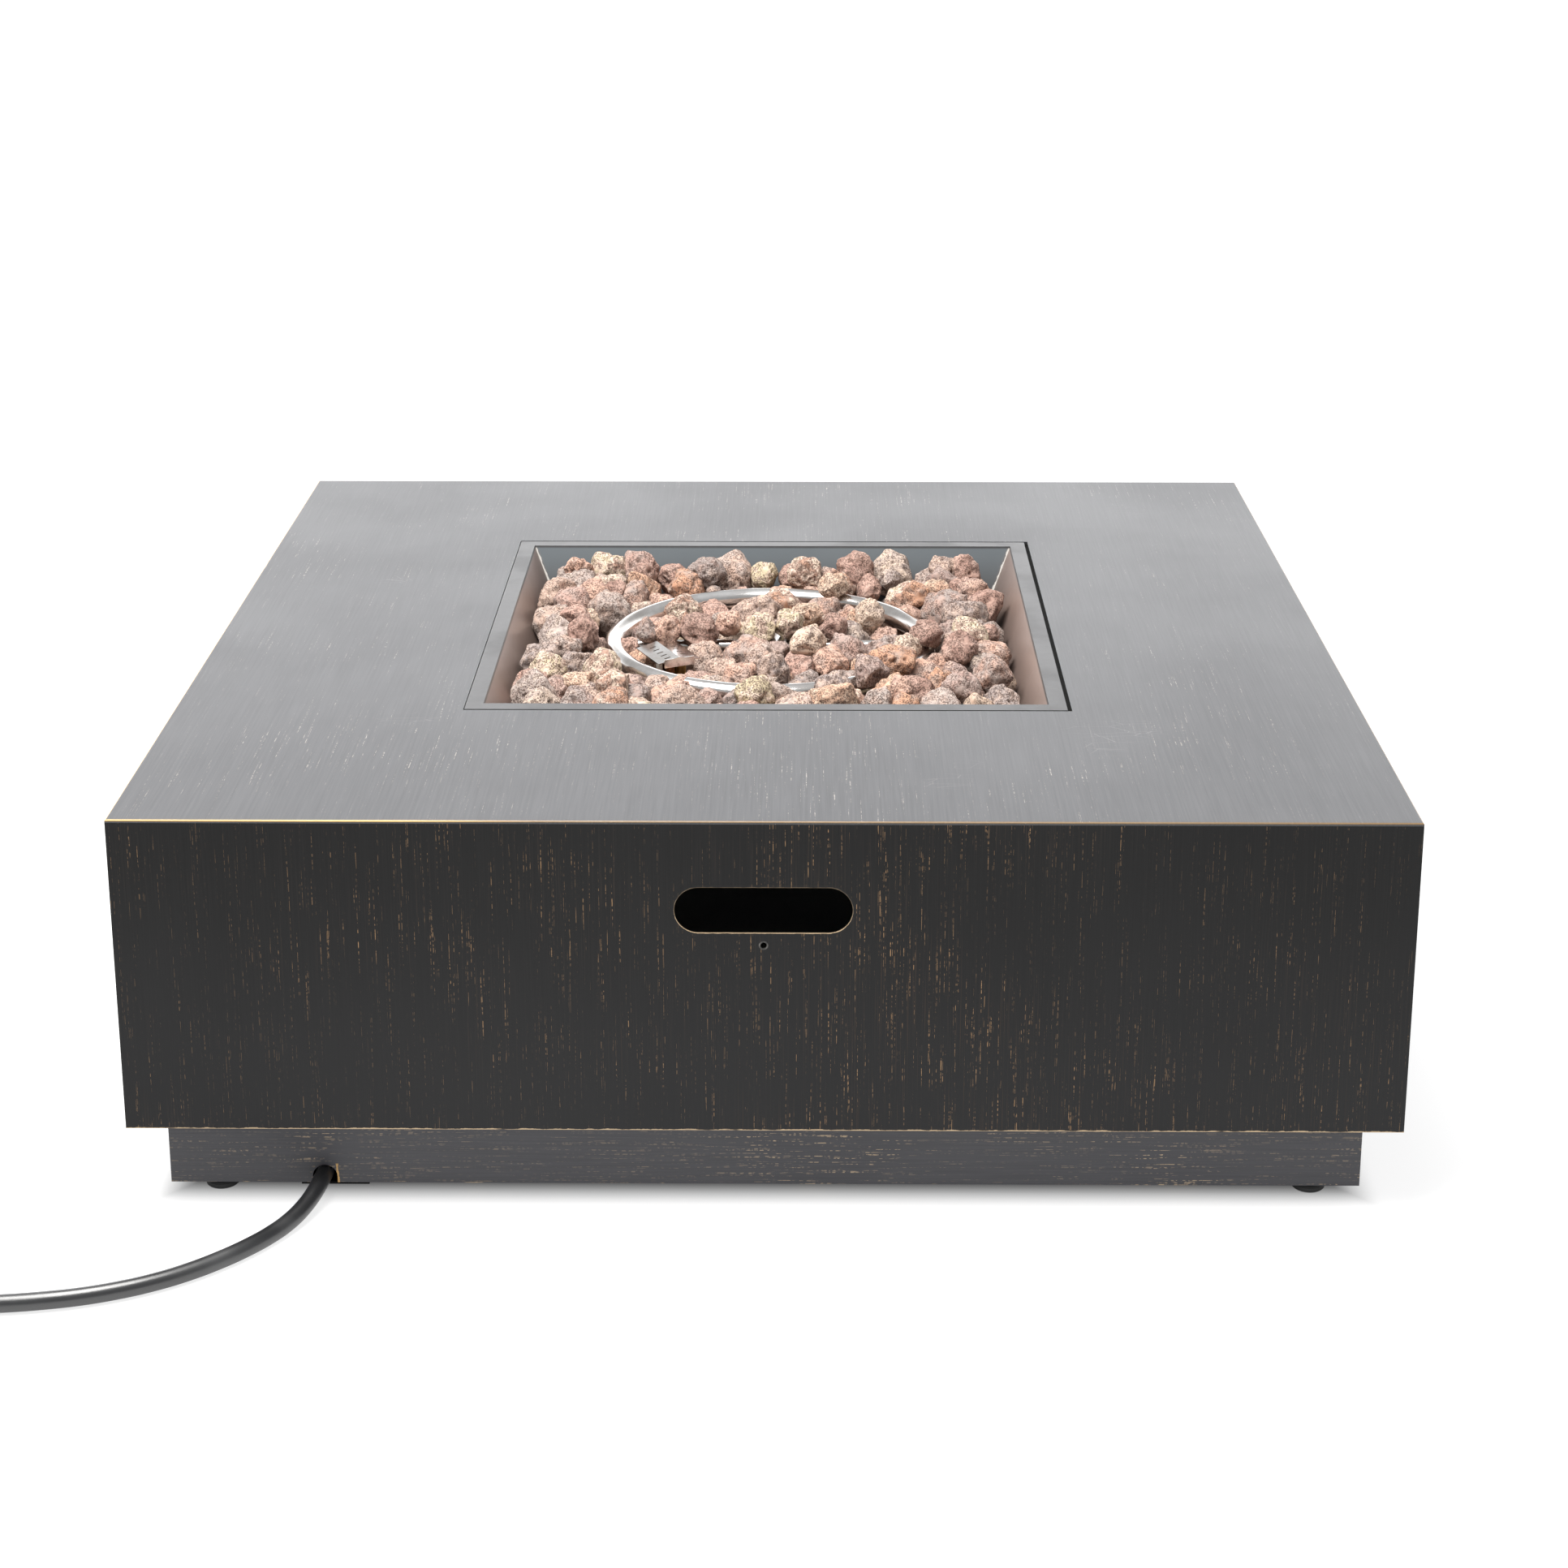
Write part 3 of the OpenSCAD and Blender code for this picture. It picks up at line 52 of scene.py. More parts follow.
# ---------------------------------------------------------------- places read from the frame
casing_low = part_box("front_panel")[0]
plinth_low, plinth_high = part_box("plinth_front")
pan_low, pan_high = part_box("burner_pan")
hood_low, hood_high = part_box("pilot_hood")
ring_low, ring_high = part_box("burner_ring")
TOP_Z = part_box("top_panel")[1].z
CASING_HALF = -casing_low.y
PAN_MID = (pan_low + pan_high) / 2
HOOD_MID = (hood_low + hood_high) / 2
RING_MID = (ring_low + ring_high) / 2
TUBE_R = (ring_high.z - ring_low.z) / 2
RING_R = (ring_high.x - ring_low.x) / 2 - TUBE_R
ROCK_TOP = max(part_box(node)[1].z for node in ("lava_rocks_outer", "lava_rocks_inner"))
# Openings inside a panel, which its box doesn't give
SLOT_W, SLOT_H = 0.139, 0.038
SLOT_Z = TOP_Z - 0.074
NOTCH_RIGHT = -0.346
NOTCH_TOP = plinth_low.z + 0.0165

# ---------------------------------------------------------------- camera
EYE_RIGHT = 0.031
EYE_BACK = 2.565
EYE_OVER_TOP = 0.819
LOOK_DOWN = 16.27
LOOK_LEFT = 0.419
LENS = 65.79
FRAME_SHIFT = -0.150
SENSOR = 36


def place_camera():
    data = bpy.data.cameras.new("camera")
    data.sensor_width = SENSOR
    data.lens = LENS
    data.shift_y = FRAME_SHIFT
    data.clip_end = 60
    camera = bpy.data.objects.new("camera", data)
    camera.location = (EYE_RIGHT, -EYE_BACK, TOP_Z + EYE_OVER_TOP)
    camera.rotation_euler = (math.radians(90 - LOOK_DOWN), 0, math.radians(LOOK_LEFT))
    bpy.context.scene.collection.objects.link(camera)
    bpy.context.scene.camera = camera


# ---------------------------------------------------------------- gas hose
HOSE_D = 0.014
# From the ferrule behind the plinth, out of the notch and along the floor to the coil
HOSE_ROUTE = [
    (-356, -457, 18), (-356, -470, 18), (-357, -486, 17.5), (-360, -503, 15), (-366, -521, 11),
    (-375, -540, 8), (-387, -560, 7), (-402, -580, 7), (-420, -599, 7), (-440, -616, 7),
    (-463, -631, 7), (-488, -643, 7), (-514, -652, 7), (-541, -658, 7), (-568, -662, 7),
    (-596, -664, 7), (-624, -665, 7), (-652, -665, 7.5), (-680, -665, 8.5), (-708, -665, 9),
]
# From the top of the coil to the regulator's fitting
TAIL_ROUTE = [
    (-820, -556, 36), (-821, -538, 33), (-821, -520, 28), (-821, -502, 22),
    (-821, -485, 18.5), (-821, -470, 17), (-821, -456, 17), (-821, -442, 17),
]
COIL_MID = (-735, -574)
COIL_START = 270
COIL_TURNS = 4.25
COIL_OUT, COIL_IN, COIL_LAST = 91, 77, 84
COIL_LAYERS = (9, 23, 37)
POINTS_PER_TURN = 20
TURN = 360
# Degrees wound from the start and to the end of each step between rows and layers
STEP_IN = (310, TURN)
CLIMB_FIRST = (2 * TURN - 110, 2 * TURN - 50)
STEP_OUT = (3 * TURN - 165, 3 * TURN - 115)
CLIMB_LAST = (4 * TURN - 235, 4 * TURN - 170)
STEP_LAST = (4 * TURN - 60, 4 * TURN)


def ease(value, low, high):
    """0 below low, 1 above high, with a smooth step between."""
    t = min(max((value - low) / (high - low), 0), 1)
    return t * t * (3 - 2 * t)


def coil_points():
    """Turns of the coil: outer and inner on the floor, inner and outer above, then a last quarter."""
    points = []
    low, middle, high = COIL_LAYERS
    for step in range(round(COIL_TURNS * POINTS_PER_TURN) + 1):
        wound = TURN * step / POINTS_PER_TURN
        radius = COIL_OUT - (COIL_OUT - COIL_IN) * ease(wound, *STEP_IN)
        radius += (COIL_OUT - COIL_IN) * ease(wound, *STEP_OUT)
        radius -= (COIL_OUT - COIL_LAST) * ease(wound, *STEP_LAST)
        height = low + (middle - low) * ease(wound, *CLIMB_FIRST)
        height += (high - middle) * ease(wound, *CLIMB_LAST)
        angle = math.radians(COIL_START - wound)
        x = COIL_MID[0] + radius * math.cos(angle)
        y = COIL_MID[1] + radius * math.sin(angle)
        points.append((x, y, height))
    return points


def make_hose():
    """The whole hose as one round curve: a bevel of 1 m, scaled at each point to the hose's radius."""
    points = [Vector(p) * MM for p in HOSE_ROUTE + coil_points() + TAIL_ROUTE]
    data = bpy.data.curves.new("gas_hose_line", "CURVE")
    data.dimensions = "3D"
    data.bevel_depth = 1
    data.bevel_resolution = 6
    data.resolution_u = 5
    data.use_fill_caps = True
    spline = data.splines.new("BEZIER")
    spline.bezier_points.add(len(points) - 1)
    for bezier, point in zip(spline.bezier_points, points):
        bezier.co = point
        bezier.radius = HOSE_D / 2
        bezier.handle_left_type = bezier.handle_right_type = "AUTO"
    hose = bpy.data.objects.new("gas_hose_line", data)
    bpy.context.scene.collection.objects.link(hose)
    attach(hose, "table")
    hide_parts("gas_hose", "hose_coil", "gas_hose_tail")
    return hose


place_camera()
hose = make_hose()


# ---------------------------------------------------------------- shader building
def new_group(name, inputs, outputs):
    """Shader node group with float or vector inputs and its input and output nodes."""
    tree = bpy.data.node_groups.new(name, "ShaderNodeTree")
    for label, value in inputs.items():
        kind = "NodeSocketVector" if isinstance(value, tuple) else "NodeSocketFloat"
        socket = tree.interface.new_socket(label, in_out="INPUT", socket_type=kind)
        socket.default_value = value
    for label in outputs:
        kind = "NodeSocketColor" if label == "Color" else "NodeSocketFloat"
        tree.interface.new_socket(label, in_out="OUTPUT", socket_type=kind)
    return tree, add(tree, "NodeGroupInput").outputs, add(tree, "NodeGroupOutput").inputs


def add(tree, kind, inputs=None, **settings):
    """Adds a node, sets its properties, and gives or links its inputs."""
    node = tree.nodes.new(kind)
    for key, value in settings.items():
        setattr(node, key, value)
    for key, value in (inputs or {}).items():
        if isinstance(value, bpy.types.NodeSocket):
            tree.links.new(value, node.inputs[key])
        else:
            node.inputs[key].default_value = value
    return node


def math_node(tree, operation, a, b=0.0, clamp=False):
    return add(tree, "ShaderNodeMath", {0: a, 1: b}, operation=operation, use_clamp=clamp).outputs[0]


def times(tree, a, b, clamp=False):
    return math_node(tree, "MULTIPLY", a, b, clamp)


def size_of(tree, value):
    """The value without its sign."""
    return math_node(tree, "ABSOLUTE", value)


def ramp_between(tree, value, low, high, to_low=0.0, to_high=1.0):
    return add(tree, "ShaderNodeMapRange", {0: value, 1: low, 2: high, 3: to_low, 4: to_high},
               interpolation_type="SMOOTHSTEP").outputs[0]


def noise(tree, vector, scale, detail=2.0, roughness=0.5):
    return add(tree, "ShaderNodeTexNoise",
               {"Vector": vector, "Scale": scale, "Detail": detail, "Roughness": roughness}).outputs[0]


def stretched(tree, vector, scale):
    return add(tree, "ShaderNodeVectorMath", {0: vector, 1: scale}, operation="MULTIPLY").outputs[0]


def mix_colour(tree, mask, a, b):
    node = add(tree, "ShaderNodeMix", data_type="RGBA")
    for index, value in ((0, mask), (6, a), (7, b)):
        if isinstance(value, bpy.types.NodeSocket):
            tree.links.new(value, node.inputs[index])
        else:
            node.inputs[index].default_value = value if index == 0 else (*value, 1)
    return node.outputs[2]


def place_group(tree, group, **inputs):
    node = add(tree, "ShaderNodeGroup", node_tree=group)
    for key, value in inputs.items():
        socket = node.inputs[key]
        if isinstance(value, bpy.types.NodeSocket):
            tree.links.new(value, socket)
        else:
            socket.default_value = value
    return node.outputs


def build_streaks():
    """Broken brush lines along one direction: a mask of the bright ones, and the fine grain under them."""
    tree, given, out = new_group(
        "brush_streaks",
        {"Vector": (0.0, 0.0, 0.0), "Stretch": (900.0, 900.0, 14.0), "Cover": 0.5, "Patch": 6.0},
        ["Lines", "Grain", "Patches"])
    fine = stretched(tree, given["Vector"], given["Stretch"])
    lines = noise(tree, fine, 1.0, 3.0, 0.62)
    edge = math_node(tree, "SUBTRACT", 0.82, times(tree, given["Cover"], 0.2))
    sharp = ramp_between(tree, lines, edge, math_node(tree, "ADD", edge, 0.06))
    patches = ramp_between(tree, noise(tree, given["Vector"], given["Patch"], 3.0, 0.6), 0.42, 0.68)
    breaks = ramp_between(tree, noise(tree, given["Vector"], 330.0, 2.0), 0.46, 0.60)
    strength = times(tree, sharp, math_node(tree, "ADD", 0.25, patches))
    tree.links.new(times(tree, strength, breaks, True), out["Lines"])
    looser = stretched(tree, given["Stretch"], (0.6, 0.6, 0.6))
    grain = noise(tree, stretched(tree, given["Vector"], looser), 1.0, 4.0, 0.6)
    tree.links.new(grain, out["Grain"])
    tree.links.new(patches, out["Patches"])
    return tree


def build_edge_wear_and_highlight():
    """Mask near an edge, broken up along it: rubbed-through finish on some edges, painted highlight on
    others.
    """
    tree, given, out = new_group(
        "edge_wear_and_highlight",
        {"Vector": (0.0, 0.0, 0.0), "Distance": 0.0, "Width": 0.001, "Amount": 0.5, "Scale": 60.0},
        ["Mask"])
    wobble = noise(tree, given["Vector"], given["Scale"], 4.0, 0.65)
    reach = times(tree, given["Width"], ramp_between(tree, wobble, 0.3, 0.7, 0.3, 1.4))
    near = ramp_between(tree, math_node(tree, "DIVIDE", given["Distance"], reach), 0.7, 1.1, 1.0, 0.0)
    gate = math_node(tree, "SUBTRACT", 0.8, times(tree, given["Amount"], 0.6))
    broken = noise(tree, given["Vector"], times(tree, given["Scale"], 0.35), 3.0, 0.6)
    kept = ramp_between(tree, broken, gate, math_node(tree, "ADD", gate, 0.12))
    tree.links.new(times(tree, near, kept, True), out["Mask"])
    return tree


def build_handling():
    """Wide faint smears and a few short scuffs."""
    tree, given, out = new_group(
        "handling_marks", {"Vector": (0.0, 0.0, 0.0), "Scale": 5.0}, ["Smears", "Scuffs"])
    tree.links.new(noise(tree, given["Vector"], given["Scale"], 4.0, 0.55), out["Smears"])
    drawn_out = stretched(tree, given["Vector"], (3.0, 11.0, 3.0))
    cell_scale = times(tree, given["Scale"], 1.6)
    scratch = add(tree, "ShaderNodeTexVoronoi", {"Vector": drawn_out, "Scale": cell_scale},
                  feature="DISTANCE_TO_EDGE").outputs[0]
    line = ramp_between(tree, scratch, 0.0, 0.012, 1.0, 0.0)
    patch_scale = times(tree, given["Scale"], 1.3)
    rare = ramp_between(tree, noise(tree, given["Vector"], patch_scale, 2.0), 0.62, 0.72)
    tree.links.new(times(tree, line, rare, True), out["Scuffs"])
    return tree


def build_worn_metal():
    """Mottled tint, roughness and fine surface height of a bare or plated metal."""
    tree, given, out = new_group(
        "worn_metal", {"Vector": (0.0, 0.0, 0.0), "Scale": 60.0, "Rough Low": 0.2, "Rough High": 0.4},
        ["Tint", "Rough", "Height"])
    broad = noise(tree, given["Vector"], given["Scale"], 5.0, 0.6)
    fine = noise(tree, given["Vector"], times(tree, given["Scale"], 14.0), 3.0, 0.6)
    tree.links.new(ramp_between(tree, broad, 0.3, 0.72), out["Tint"])
    span = math_node(tree, "SUBTRACT", given["Rough High"], given["Rough Low"])
    rough = math_node(tree, "ADD", given["Rough Low"], times(tree, span, broad))
    tree.links.new(rough, out["Rough"])
    tree.links.new(math_node(tree, "ADD", fine, times(tree, broad, 0.5)), out["Height"])
    return tree


# Holes to the metre, and how far from a hole's middle its rim starts and ends, in cells
PORE_SIZES = ((250.0, 0.16, 0.28), (430.0, 0.26, 0.40), (720.0, 0.30, 0.46))


def build_pores():
    """Gas bubbles of cooled lava: holes of three sizes, and a gritty skin between them."""
    tree, given, out = new_group(
        "lava_pores", {"Vector": (0.0, 0.0, 0.0), "Size": 1.0}, ["Holes", "Height", "Mottle"])
    warp = add(tree, "ShaderNodeTexNoise",
               {"Vector": given["Vector"], "Scale": 160.0, "Detail": 2.0}).outputs[1]
    nudge = stretched(tree, warp, (0.004, 0.004, 0.004))
    place = add(tree, "ShaderNodeVectorMath", {0: given["Vector"], 1: nudge}, operation="ADD").outputs[0]
    holes = 0.0
    height = noise(tree, given["Vector"], 900.0, 5.0, 0.7)
    for scale, low, high in PORE_SIZES:
        cell = add(tree, "ShaderNodeTexVoronoi",
                   {"Vector": place, "Scale": times(tree, given["Size"], scale)}).outputs[0]
        hole = ramp_between(tree, cell, low, high, 1.0, 0.0)
        holes = math_node(tree, "MAXIMUM", hole, holes)
    rare = ramp_between(tree, noise(tree, given["Vector"], 85.0, 3.0, 0.6), 0.30, 0.50)
    open_holes = times(tree, holes, rare, True)
    tree.links.new(open_holes, out["Holes"])
    skin = times(tree, height, 0.5)
    tree.links.new(math_node(tree, "SUBTRACT", skin, open_holes), out["Height"])
    tree.links.new(noise(tree, given["Vector"], 90.0, 5.0, 0.65), out["Mottle"])
    return tree


STREAKS = build_streaks()
EDGE_WEAR_AND_HIGHLIGHT = build_edge_wear_and_highlight()
HANDLING = build_handling()
WORN_METAL = build_worn_metal()
PORES = build_pores()


def start_material(name):
    """New material with its shader, and the place on the object as a vector."""
    material = bpy.data.materials.new(name)
    material.use_nodes = True
    tree = material.node_tree
    shader = next(n for n in tree.nodes if n.type == "BSDF_PRINCIPLED")
    place = add(tree, "ShaderNodeTexCoord").outputs["Object"]
    return material, tree, shader, place


def link(tree, shader, **sockets):
    names = {"colour": "Base Color", "rough": "Roughness", "metal": "Metallic", "normal": "Normal"}
    for key, value in sockets.items():
        tree.links.new(value, shader.inputs[names[key]])


def bump(tree, height, strength, distance):
    return add(tree, "ShaderNodeBump",
               {"Height": height, "Strength": strength, "Distance": distance}).outputs[0]


def axes(tree, place):
    return add(tree, "ShaderNodeSeparateXYZ", {0: place}).outputs


GOLD = (0.56, 0.33, 0.11)
PALE_GOLD = (0.52, 0.385, 0.24)
COPPER = (0.50, 0.30, 0.15)
SIDE_BLACK, SIDE_GRAIN = (0.002, 0.002, 0.0021), (0.011, 0.0106, 0.0108)
# Painted floor light: the paler tint the casing fades to towards its bottom
SIDE_FLOOR_LIGHT = (0.021, 0.021, 0.0225)
SIDE_BROWN = (0.040, 0.026, 0.018)
# Painted shade: near black for the casing's inner faces, seen through the slot
INNER_SHADE = (0.002, 0.002, 0.002)
PLINTH_DARK, PLINTH_GRAIN = (0.026, 0.026, 0.031), (0.062, 0.061, 0.070)
TOP_DARK, TOP_GRAIN = (0.006, 0.0065, 0.0085), (0.074, 0.075, 0.080)
TOP_LINE = (0.42, 0.38, 0.34)
TOP_SCUFF = (0.26, 0.25, 0.25)
# Pan walls, one sheet: blue-grey back and front walls, brown side walls, tinted apart as painted light by
# the way each faces
PAN_BACK_WALL, PAN_SIDE_WALL = (0.10, 0.115, 0.125), (0.21, 0.155, 0.135)
RIM_DARK, RIM_GRAIN = (0.022, 0.022, 0.023), (0.052, 0.051, 0.052)
# Painted shade: the dark brown that the pan's walls deepen to towards the rocks
PAN_SHADE = (0.030, 0.021, 0.017)
# Painted highlight: the pale line along the pan's folded corners
FOLD_HIGHLIGHT = (0.50, 0.48, 0.45)
# Height of the paint's brush marks, in metres
BRUSH_DEPTH = 0.0004


def from_middle(tree, place):
    """Distance from the table's middle, measured square like the table."""
    x, y, _ = axes(tree, place)
    return math_node(tree, "MAXIMUM", size_of(tree, x), size_of(tree, y))


def inner_faces(tree, place):
    """1 on the casing's inner faces, 0 on its outside."""
    out = from_middle(tree, place)
    return ramp_between(tree, out, CASING_HALF - 0.0012, CASING_HALF - 0.0006, 1.0, 0.0)


def slot_distance(tree, place):
    """Distance from the hand slot's outline in the front and back, and a painted-highlight weight that is 1
    along its lower half, whose edge faces up to the light, and 0.25 at its top.
    """
    x, _, z = axes(tree, place)
    radius = SLOT_H / 2
    half_run = SLOT_W / 2 - radius
    past_run = math_node(tree, "SUBTRACT", size_of(tree, x), half_run)
    along = math_node(tree, "MAXIMUM", past_run, 0.0)
    up = math_node(tree, "SUBTRACT", z, SLOT_Z)
    along_squared = math_node(tree, "POWER", along, 2.0)
    up_squared = math_node(tree, "POWER", size_of(tree, up), 2.0)
    reach = math_node(tree, "SQRT", math_node(tree, "ADD", along_squared, up_squared))
    gap = math_node(tree, "SUBTRACT", reach, radius)
    # Painted highlight: full along the slot's lower half, where the edge faces up to the light
    lower = ramp_between(tree, up, -radius * 0.9, radius * 0.6, 1.0, 0.25)
    return gap, lower


def side_paint():
    """Near-black coat with upright copper streaks, rubbed through at the slot and the lower edge, with
    painted floor light paling it towards the bottom, painted highlight on the slot's lower rim, and painted
    shade on its inner faces.
    """
    material, tree, shader, place = start_material("side_paint")
    streaks = place_group(tree, STREAKS, Vector=place, Stretch=(1450.0, 1450.0, 14.0), Cover=1.0, Patch=5.0)
    marks = place_group(tree, HANDLING, Vector=place, Scale=4.0)
    _, _, z = axes(tree, place)
    low_gap = math_node(tree, "SUBTRACT", z, casing_low.z)
    bottom = place_group(tree, EDGE_WEAR_AND_HIGHLIGHT, Vector=place, Distance=low_gap, Width=0.0010, Amount=0.8,
                         Scale=90.0)
    gap, lower = slot_distance(tree, place)
    gap = size_of(tree, gap)
    rim = place_group(tree, EDGE_WEAR_AND_HIGHLIGHT, Vector=place, Distance=gap, Width=0.0005, Amount=1.0, Scale=120.0)
    base = mix_colour(tree, streaks["Grain"], SIDE_BLACK, SIDE_GRAIN)
    # Painted floor light: paler towards the bottom of the casing, where the bright floor lights it
    paler = ramp_between(tree, z, casing_low.z, TOP_Z, 0.5, 0.0)
    base = mix_colour(tree, paler, base, SIDE_FLOOR_LIGHT)
    brown = ramp_between(tree, streaks["Grain"], 0.54, 0.70, 0.0, 0.8)
    base = mix_colour(tree, times(tree, brown, streaks["Patches"]), base, SIDE_BROWN)
    base = mix_colour(tree, times(tree, streaks["Lines"], 0.8), base, COPPER)
    base = mix_colour(tree, bottom["Mask"], base, PALE_GOLD)
    # Gold round the slot: rubbed-through finish, with painted highlight weighting it to the lower half
    base = mix_colour(tree, times(tree, rim["Mask"], lower), base, PALE_GOLD)
    # Painted shade: the inner faces tinted near black so the inside reads dark through the slot
    inside = inner_faces(tree, place)
    base = mix_colour(tree, inside, base, INNER_SHADE)
    rough = math_node(tree, "ADD", ramp_between(tree, marks["Smears"], 0.3, 0.7, 0.40, 0.50),
                      times(tree, inside, 0.5), True)
    link(tree, shader, colour=base, rough=rough, normal=bump(tree, streaks["Grain"], 0.12, BRUSH_DEPTH))
    shader.inputs["Specular IOR Level"].default_value = 0.24
    return material


def plinth_paint():
    """Dark grey coat with level gold streaks, rubbed at the lower edge and the hose's notch."""
    material, tree, shader, place = start_material("plinth_paint")
    streaks = place_group(tree, STREAKS, Vector=place, Stretch=(20.0, 20.0, 1150.0), Cover=1.22, Patch=4.0)
    x, y, z = axes(tree, place)
    low_gap = math_node(tree, "SUBTRACT", z, plinth_low.z)
    bottom = place_group(tree, EDGE_WEAR_AND_HIGHLIGHT, Vector=place, Distance=low_gap, Width=0.0008, Amount=0.3,
                         Scale=90.0)
    notch = size_of(tree, math_node(tree, "SUBTRACT", x, NOTCH_RIGHT))
    notch_rub = place_group(tree, EDGE_WEAR_AND_HIGHLIGHT, Vector=place, Distance=notch, Width=0.0016, Amount=1.0,
                            Scale=90.0)
    below = ramp_between(tree, z, NOTCH_TOP - 0.001, NOTCH_TOP + 0.001, 1.0, 0.0)
    below = times(tree, below, math_node(tree, "LESS_THAN", y, plinth_low.y + 0.01))
    base = mix_colour(tree, streaks["Grain"], PLINTH_DARK, PLINTH_GRAIN)
    base = mix_colour(tree, streaks["Lines"], base, PALE_GOLD)
    base = mix_colour(tree, bottom["Mask"], base, PALE_GOLD)
    base = mix_colour(tree, times(tree, notch_rub["Mask"], below), base, GOLD)
    link(tree, shader, colour=base, rough=ramp_between(tree, streaks["Patches"], 0.0, 1.0, 0.38, 0.46),
         normal=bump(tree, streaks["Grain"], 0.15, BRUSH_DEPTH))
    shader.inputs["Specular IOR Level"].default_value = 0.5
    return material


def top_paint():
    """Satin grey coat brushed front to back, with gold along its rolled front edge: part rubbed metal, part
    painted highlight where the rounded edge catches the light.
    """
    material, tree, shader, place = start_material("top_paint")
    streaks = place_group(tree, STREAKS, Vector=place, Stretch=(900.0, 16.0, 900.0), Cover=1.0, Patch=5.0)
    marks = place_group(tree, HANDLING, Vector=place, Scale=4.5)
    x, _, _ = axes(tree, place)
    facing = axes(tree, add(tree, "ShaderNodeNewGeometry").outputs["True Normal"])
    upright = size_of(tree, facing[2])
    turned = times(tree, ramp_between(tree, upright, 0.96, 0.995, 1.0, 0.0),
                       ramp_between(tree, upright, 0.05, 0.35))
    # Painted highlight with wear: gold on the rounded edge's turned faces, broken like rubbed metal,
    # stronger towards the left
    left = ramp_between(tree, x, -0.30, -0.16, 1.0, 0.32)
    rub = place_group(tree, EDGE_WEAR_AND_HIGHLIGHT, Vector=place, Distance=0.0, Width=0.001, Amount=1.0, Scale=40.0)
    gold = times(tree, times(tree, turned, rub["Mask"]), left, True)
    base = mix_colour(tree, streaks["Grain"], TOP_DARK, TOP_GRAIN)
    base = mix_colour(tree, times(tree, streaks["Lines"], 0.6), base, TOP_LINE)
    base = mix_colour(tree, times(tree, marks["Scuffs"], 0.5), base, TOP_SCUFF)
    base = mix_colour(tree, gold, base, GOLD)
    rough = math_node(tree, "ADD", ramp_between(tree, marks["Smears"], 0.3, 0.7, 0.33, 0.38),
                      times(tree, streaks["Grain"], 0.05))
    link(tree, shader, colour=base, rough=rough, normal=bump(tree, streaks["Grain"], 0.16, BRUSH_DEPTH))
    shader.inputs["Specular IOR Level"].default_value = 0.6
    return material


def pan_paint():
    """Flat rim like the casing, and heat-tinted sloping walls, with painted light tinting the back and side
    walls apart, painted shade darkening them towards the rocks, and painted highlight along the folded
    corners.
    """
    material, tree, shader, place = start_material("pan_paint")
    streaks = place_group(tree, STREAKS, Vector=place, Stretch=(260.0, 260.0, 260.0), Cover=0.35, Patch=9.0)
    x, y, z = axes(tree, place)
    depth = ramp_between(tree, z, TOP_Z - 0.060, TOP_Z - 0.002, 1.0, 0.0)
    across = size_of(tree, math_node(tree, "SUBTRACT", x, PAN_MID.x))
    along = size_of(tree, math_node(tree, "SUBTRACT", y, PAN_MID.y))
    beyond = math_node(tree, "SUBTRACT", across, along)
    fold = size_of(tree, beyond)
    # Painted highlight along the folded corners, broken up along them
    fold_highlight = place_group(tree, EDGE_WEAR_AND_HIGHLIGHT, Vector=place, Distance=fold, Width=0.0016, Amount=0.9,
                           Scale=80.0)
    inside = ramp_between(tree, z, TOP_Z - 0.003, TOP_Z - 0.001, 1.0, 0.0)
    # Painted light: back and front walls take one tint, side walls the other, by which way they face
    side = ramp_between(tree, beyond, -0.004, 0.004)
    wall = mix_colour(tree, side, PAN_BACK_WALL, PAN_SIDE_WALL)
    base = mix_colour(tree, streaks["Grain"], RIM_DARK, RIM_GRAIN)
    base = mix_colour(tree, inside, base, wall)
    # Painted shade: the walls darken with depth into the pan
    base = mix_colour(tree, times(tree, depth, 0.75), base, PAN_SHADE)
    base = mix_colour(tree, times(tree, fold_highlight["Mask"], inside), base, FOLD_HIGHLIGHT)
    link(tree, shader, colour=base, rough=ramp_between(tree, streaks["Patches"], 0.0, 1.0, 0.34, 0.42),
         normal=bump(tree, streaks["Grain"], 0.10, 0.0003))
    shader.inputs["Specular IOR Level"].default_value = 0.6
    return material


def worn_places(tree, place, scale, rough):
    """The worn metal group, with its lowest and highest roughness as a pair."""
    ends = {"Rough Low": rough[0], "Rough High": rough[1]}
    return place_group(tree, WORN_METAL, Vector=place, Scale=scale, **ends)


def metal(name, dark, bright, rough, scale=60.0, metallic=1.0, grain=0.08, shine=0.5):
    """Bare, plated or painted metal with its own tint, wear and grain."""
    material, tree, shader, place = start_material(name)
    worn = worn_places(tree, place, scale, rough)
    link(tree, shader, colour=mix_colour(tree, worn["Tint"], dark, bright), rough=worn["Rough"],
         normal=bump(tree, worn["Height"], grain, 0.0003))
    shader.inputs["Metallic"].default_value = metallic
    shader.inputs["Specular IOR Level"].default_value = shine
    return material


def stainless():
    """Polished tube and bright sheet, faintly straw-tinted in places, with fine polishing lines."""
    material, tree, shader, place = start_material("stainless")
    worn = worn_places(tree, place, 26.0, (0.10, 0.26))
    lines = noise(tree, stretched(tree, place, (150.0, 150.0, 1500.0)), 1.0, 3.0)
    colour = mix_colour(tree, worn["Tint"], (0.55, 0.52, 0.49), (0.72, 0.71, 0.70))
    link(tree, shader, colour=colour, rough=worn["Rough"], normal=bump(tree, lines, 0.05, 0.0002))
    shader.inputs["Metallic"].default_value = 1.0
    return material


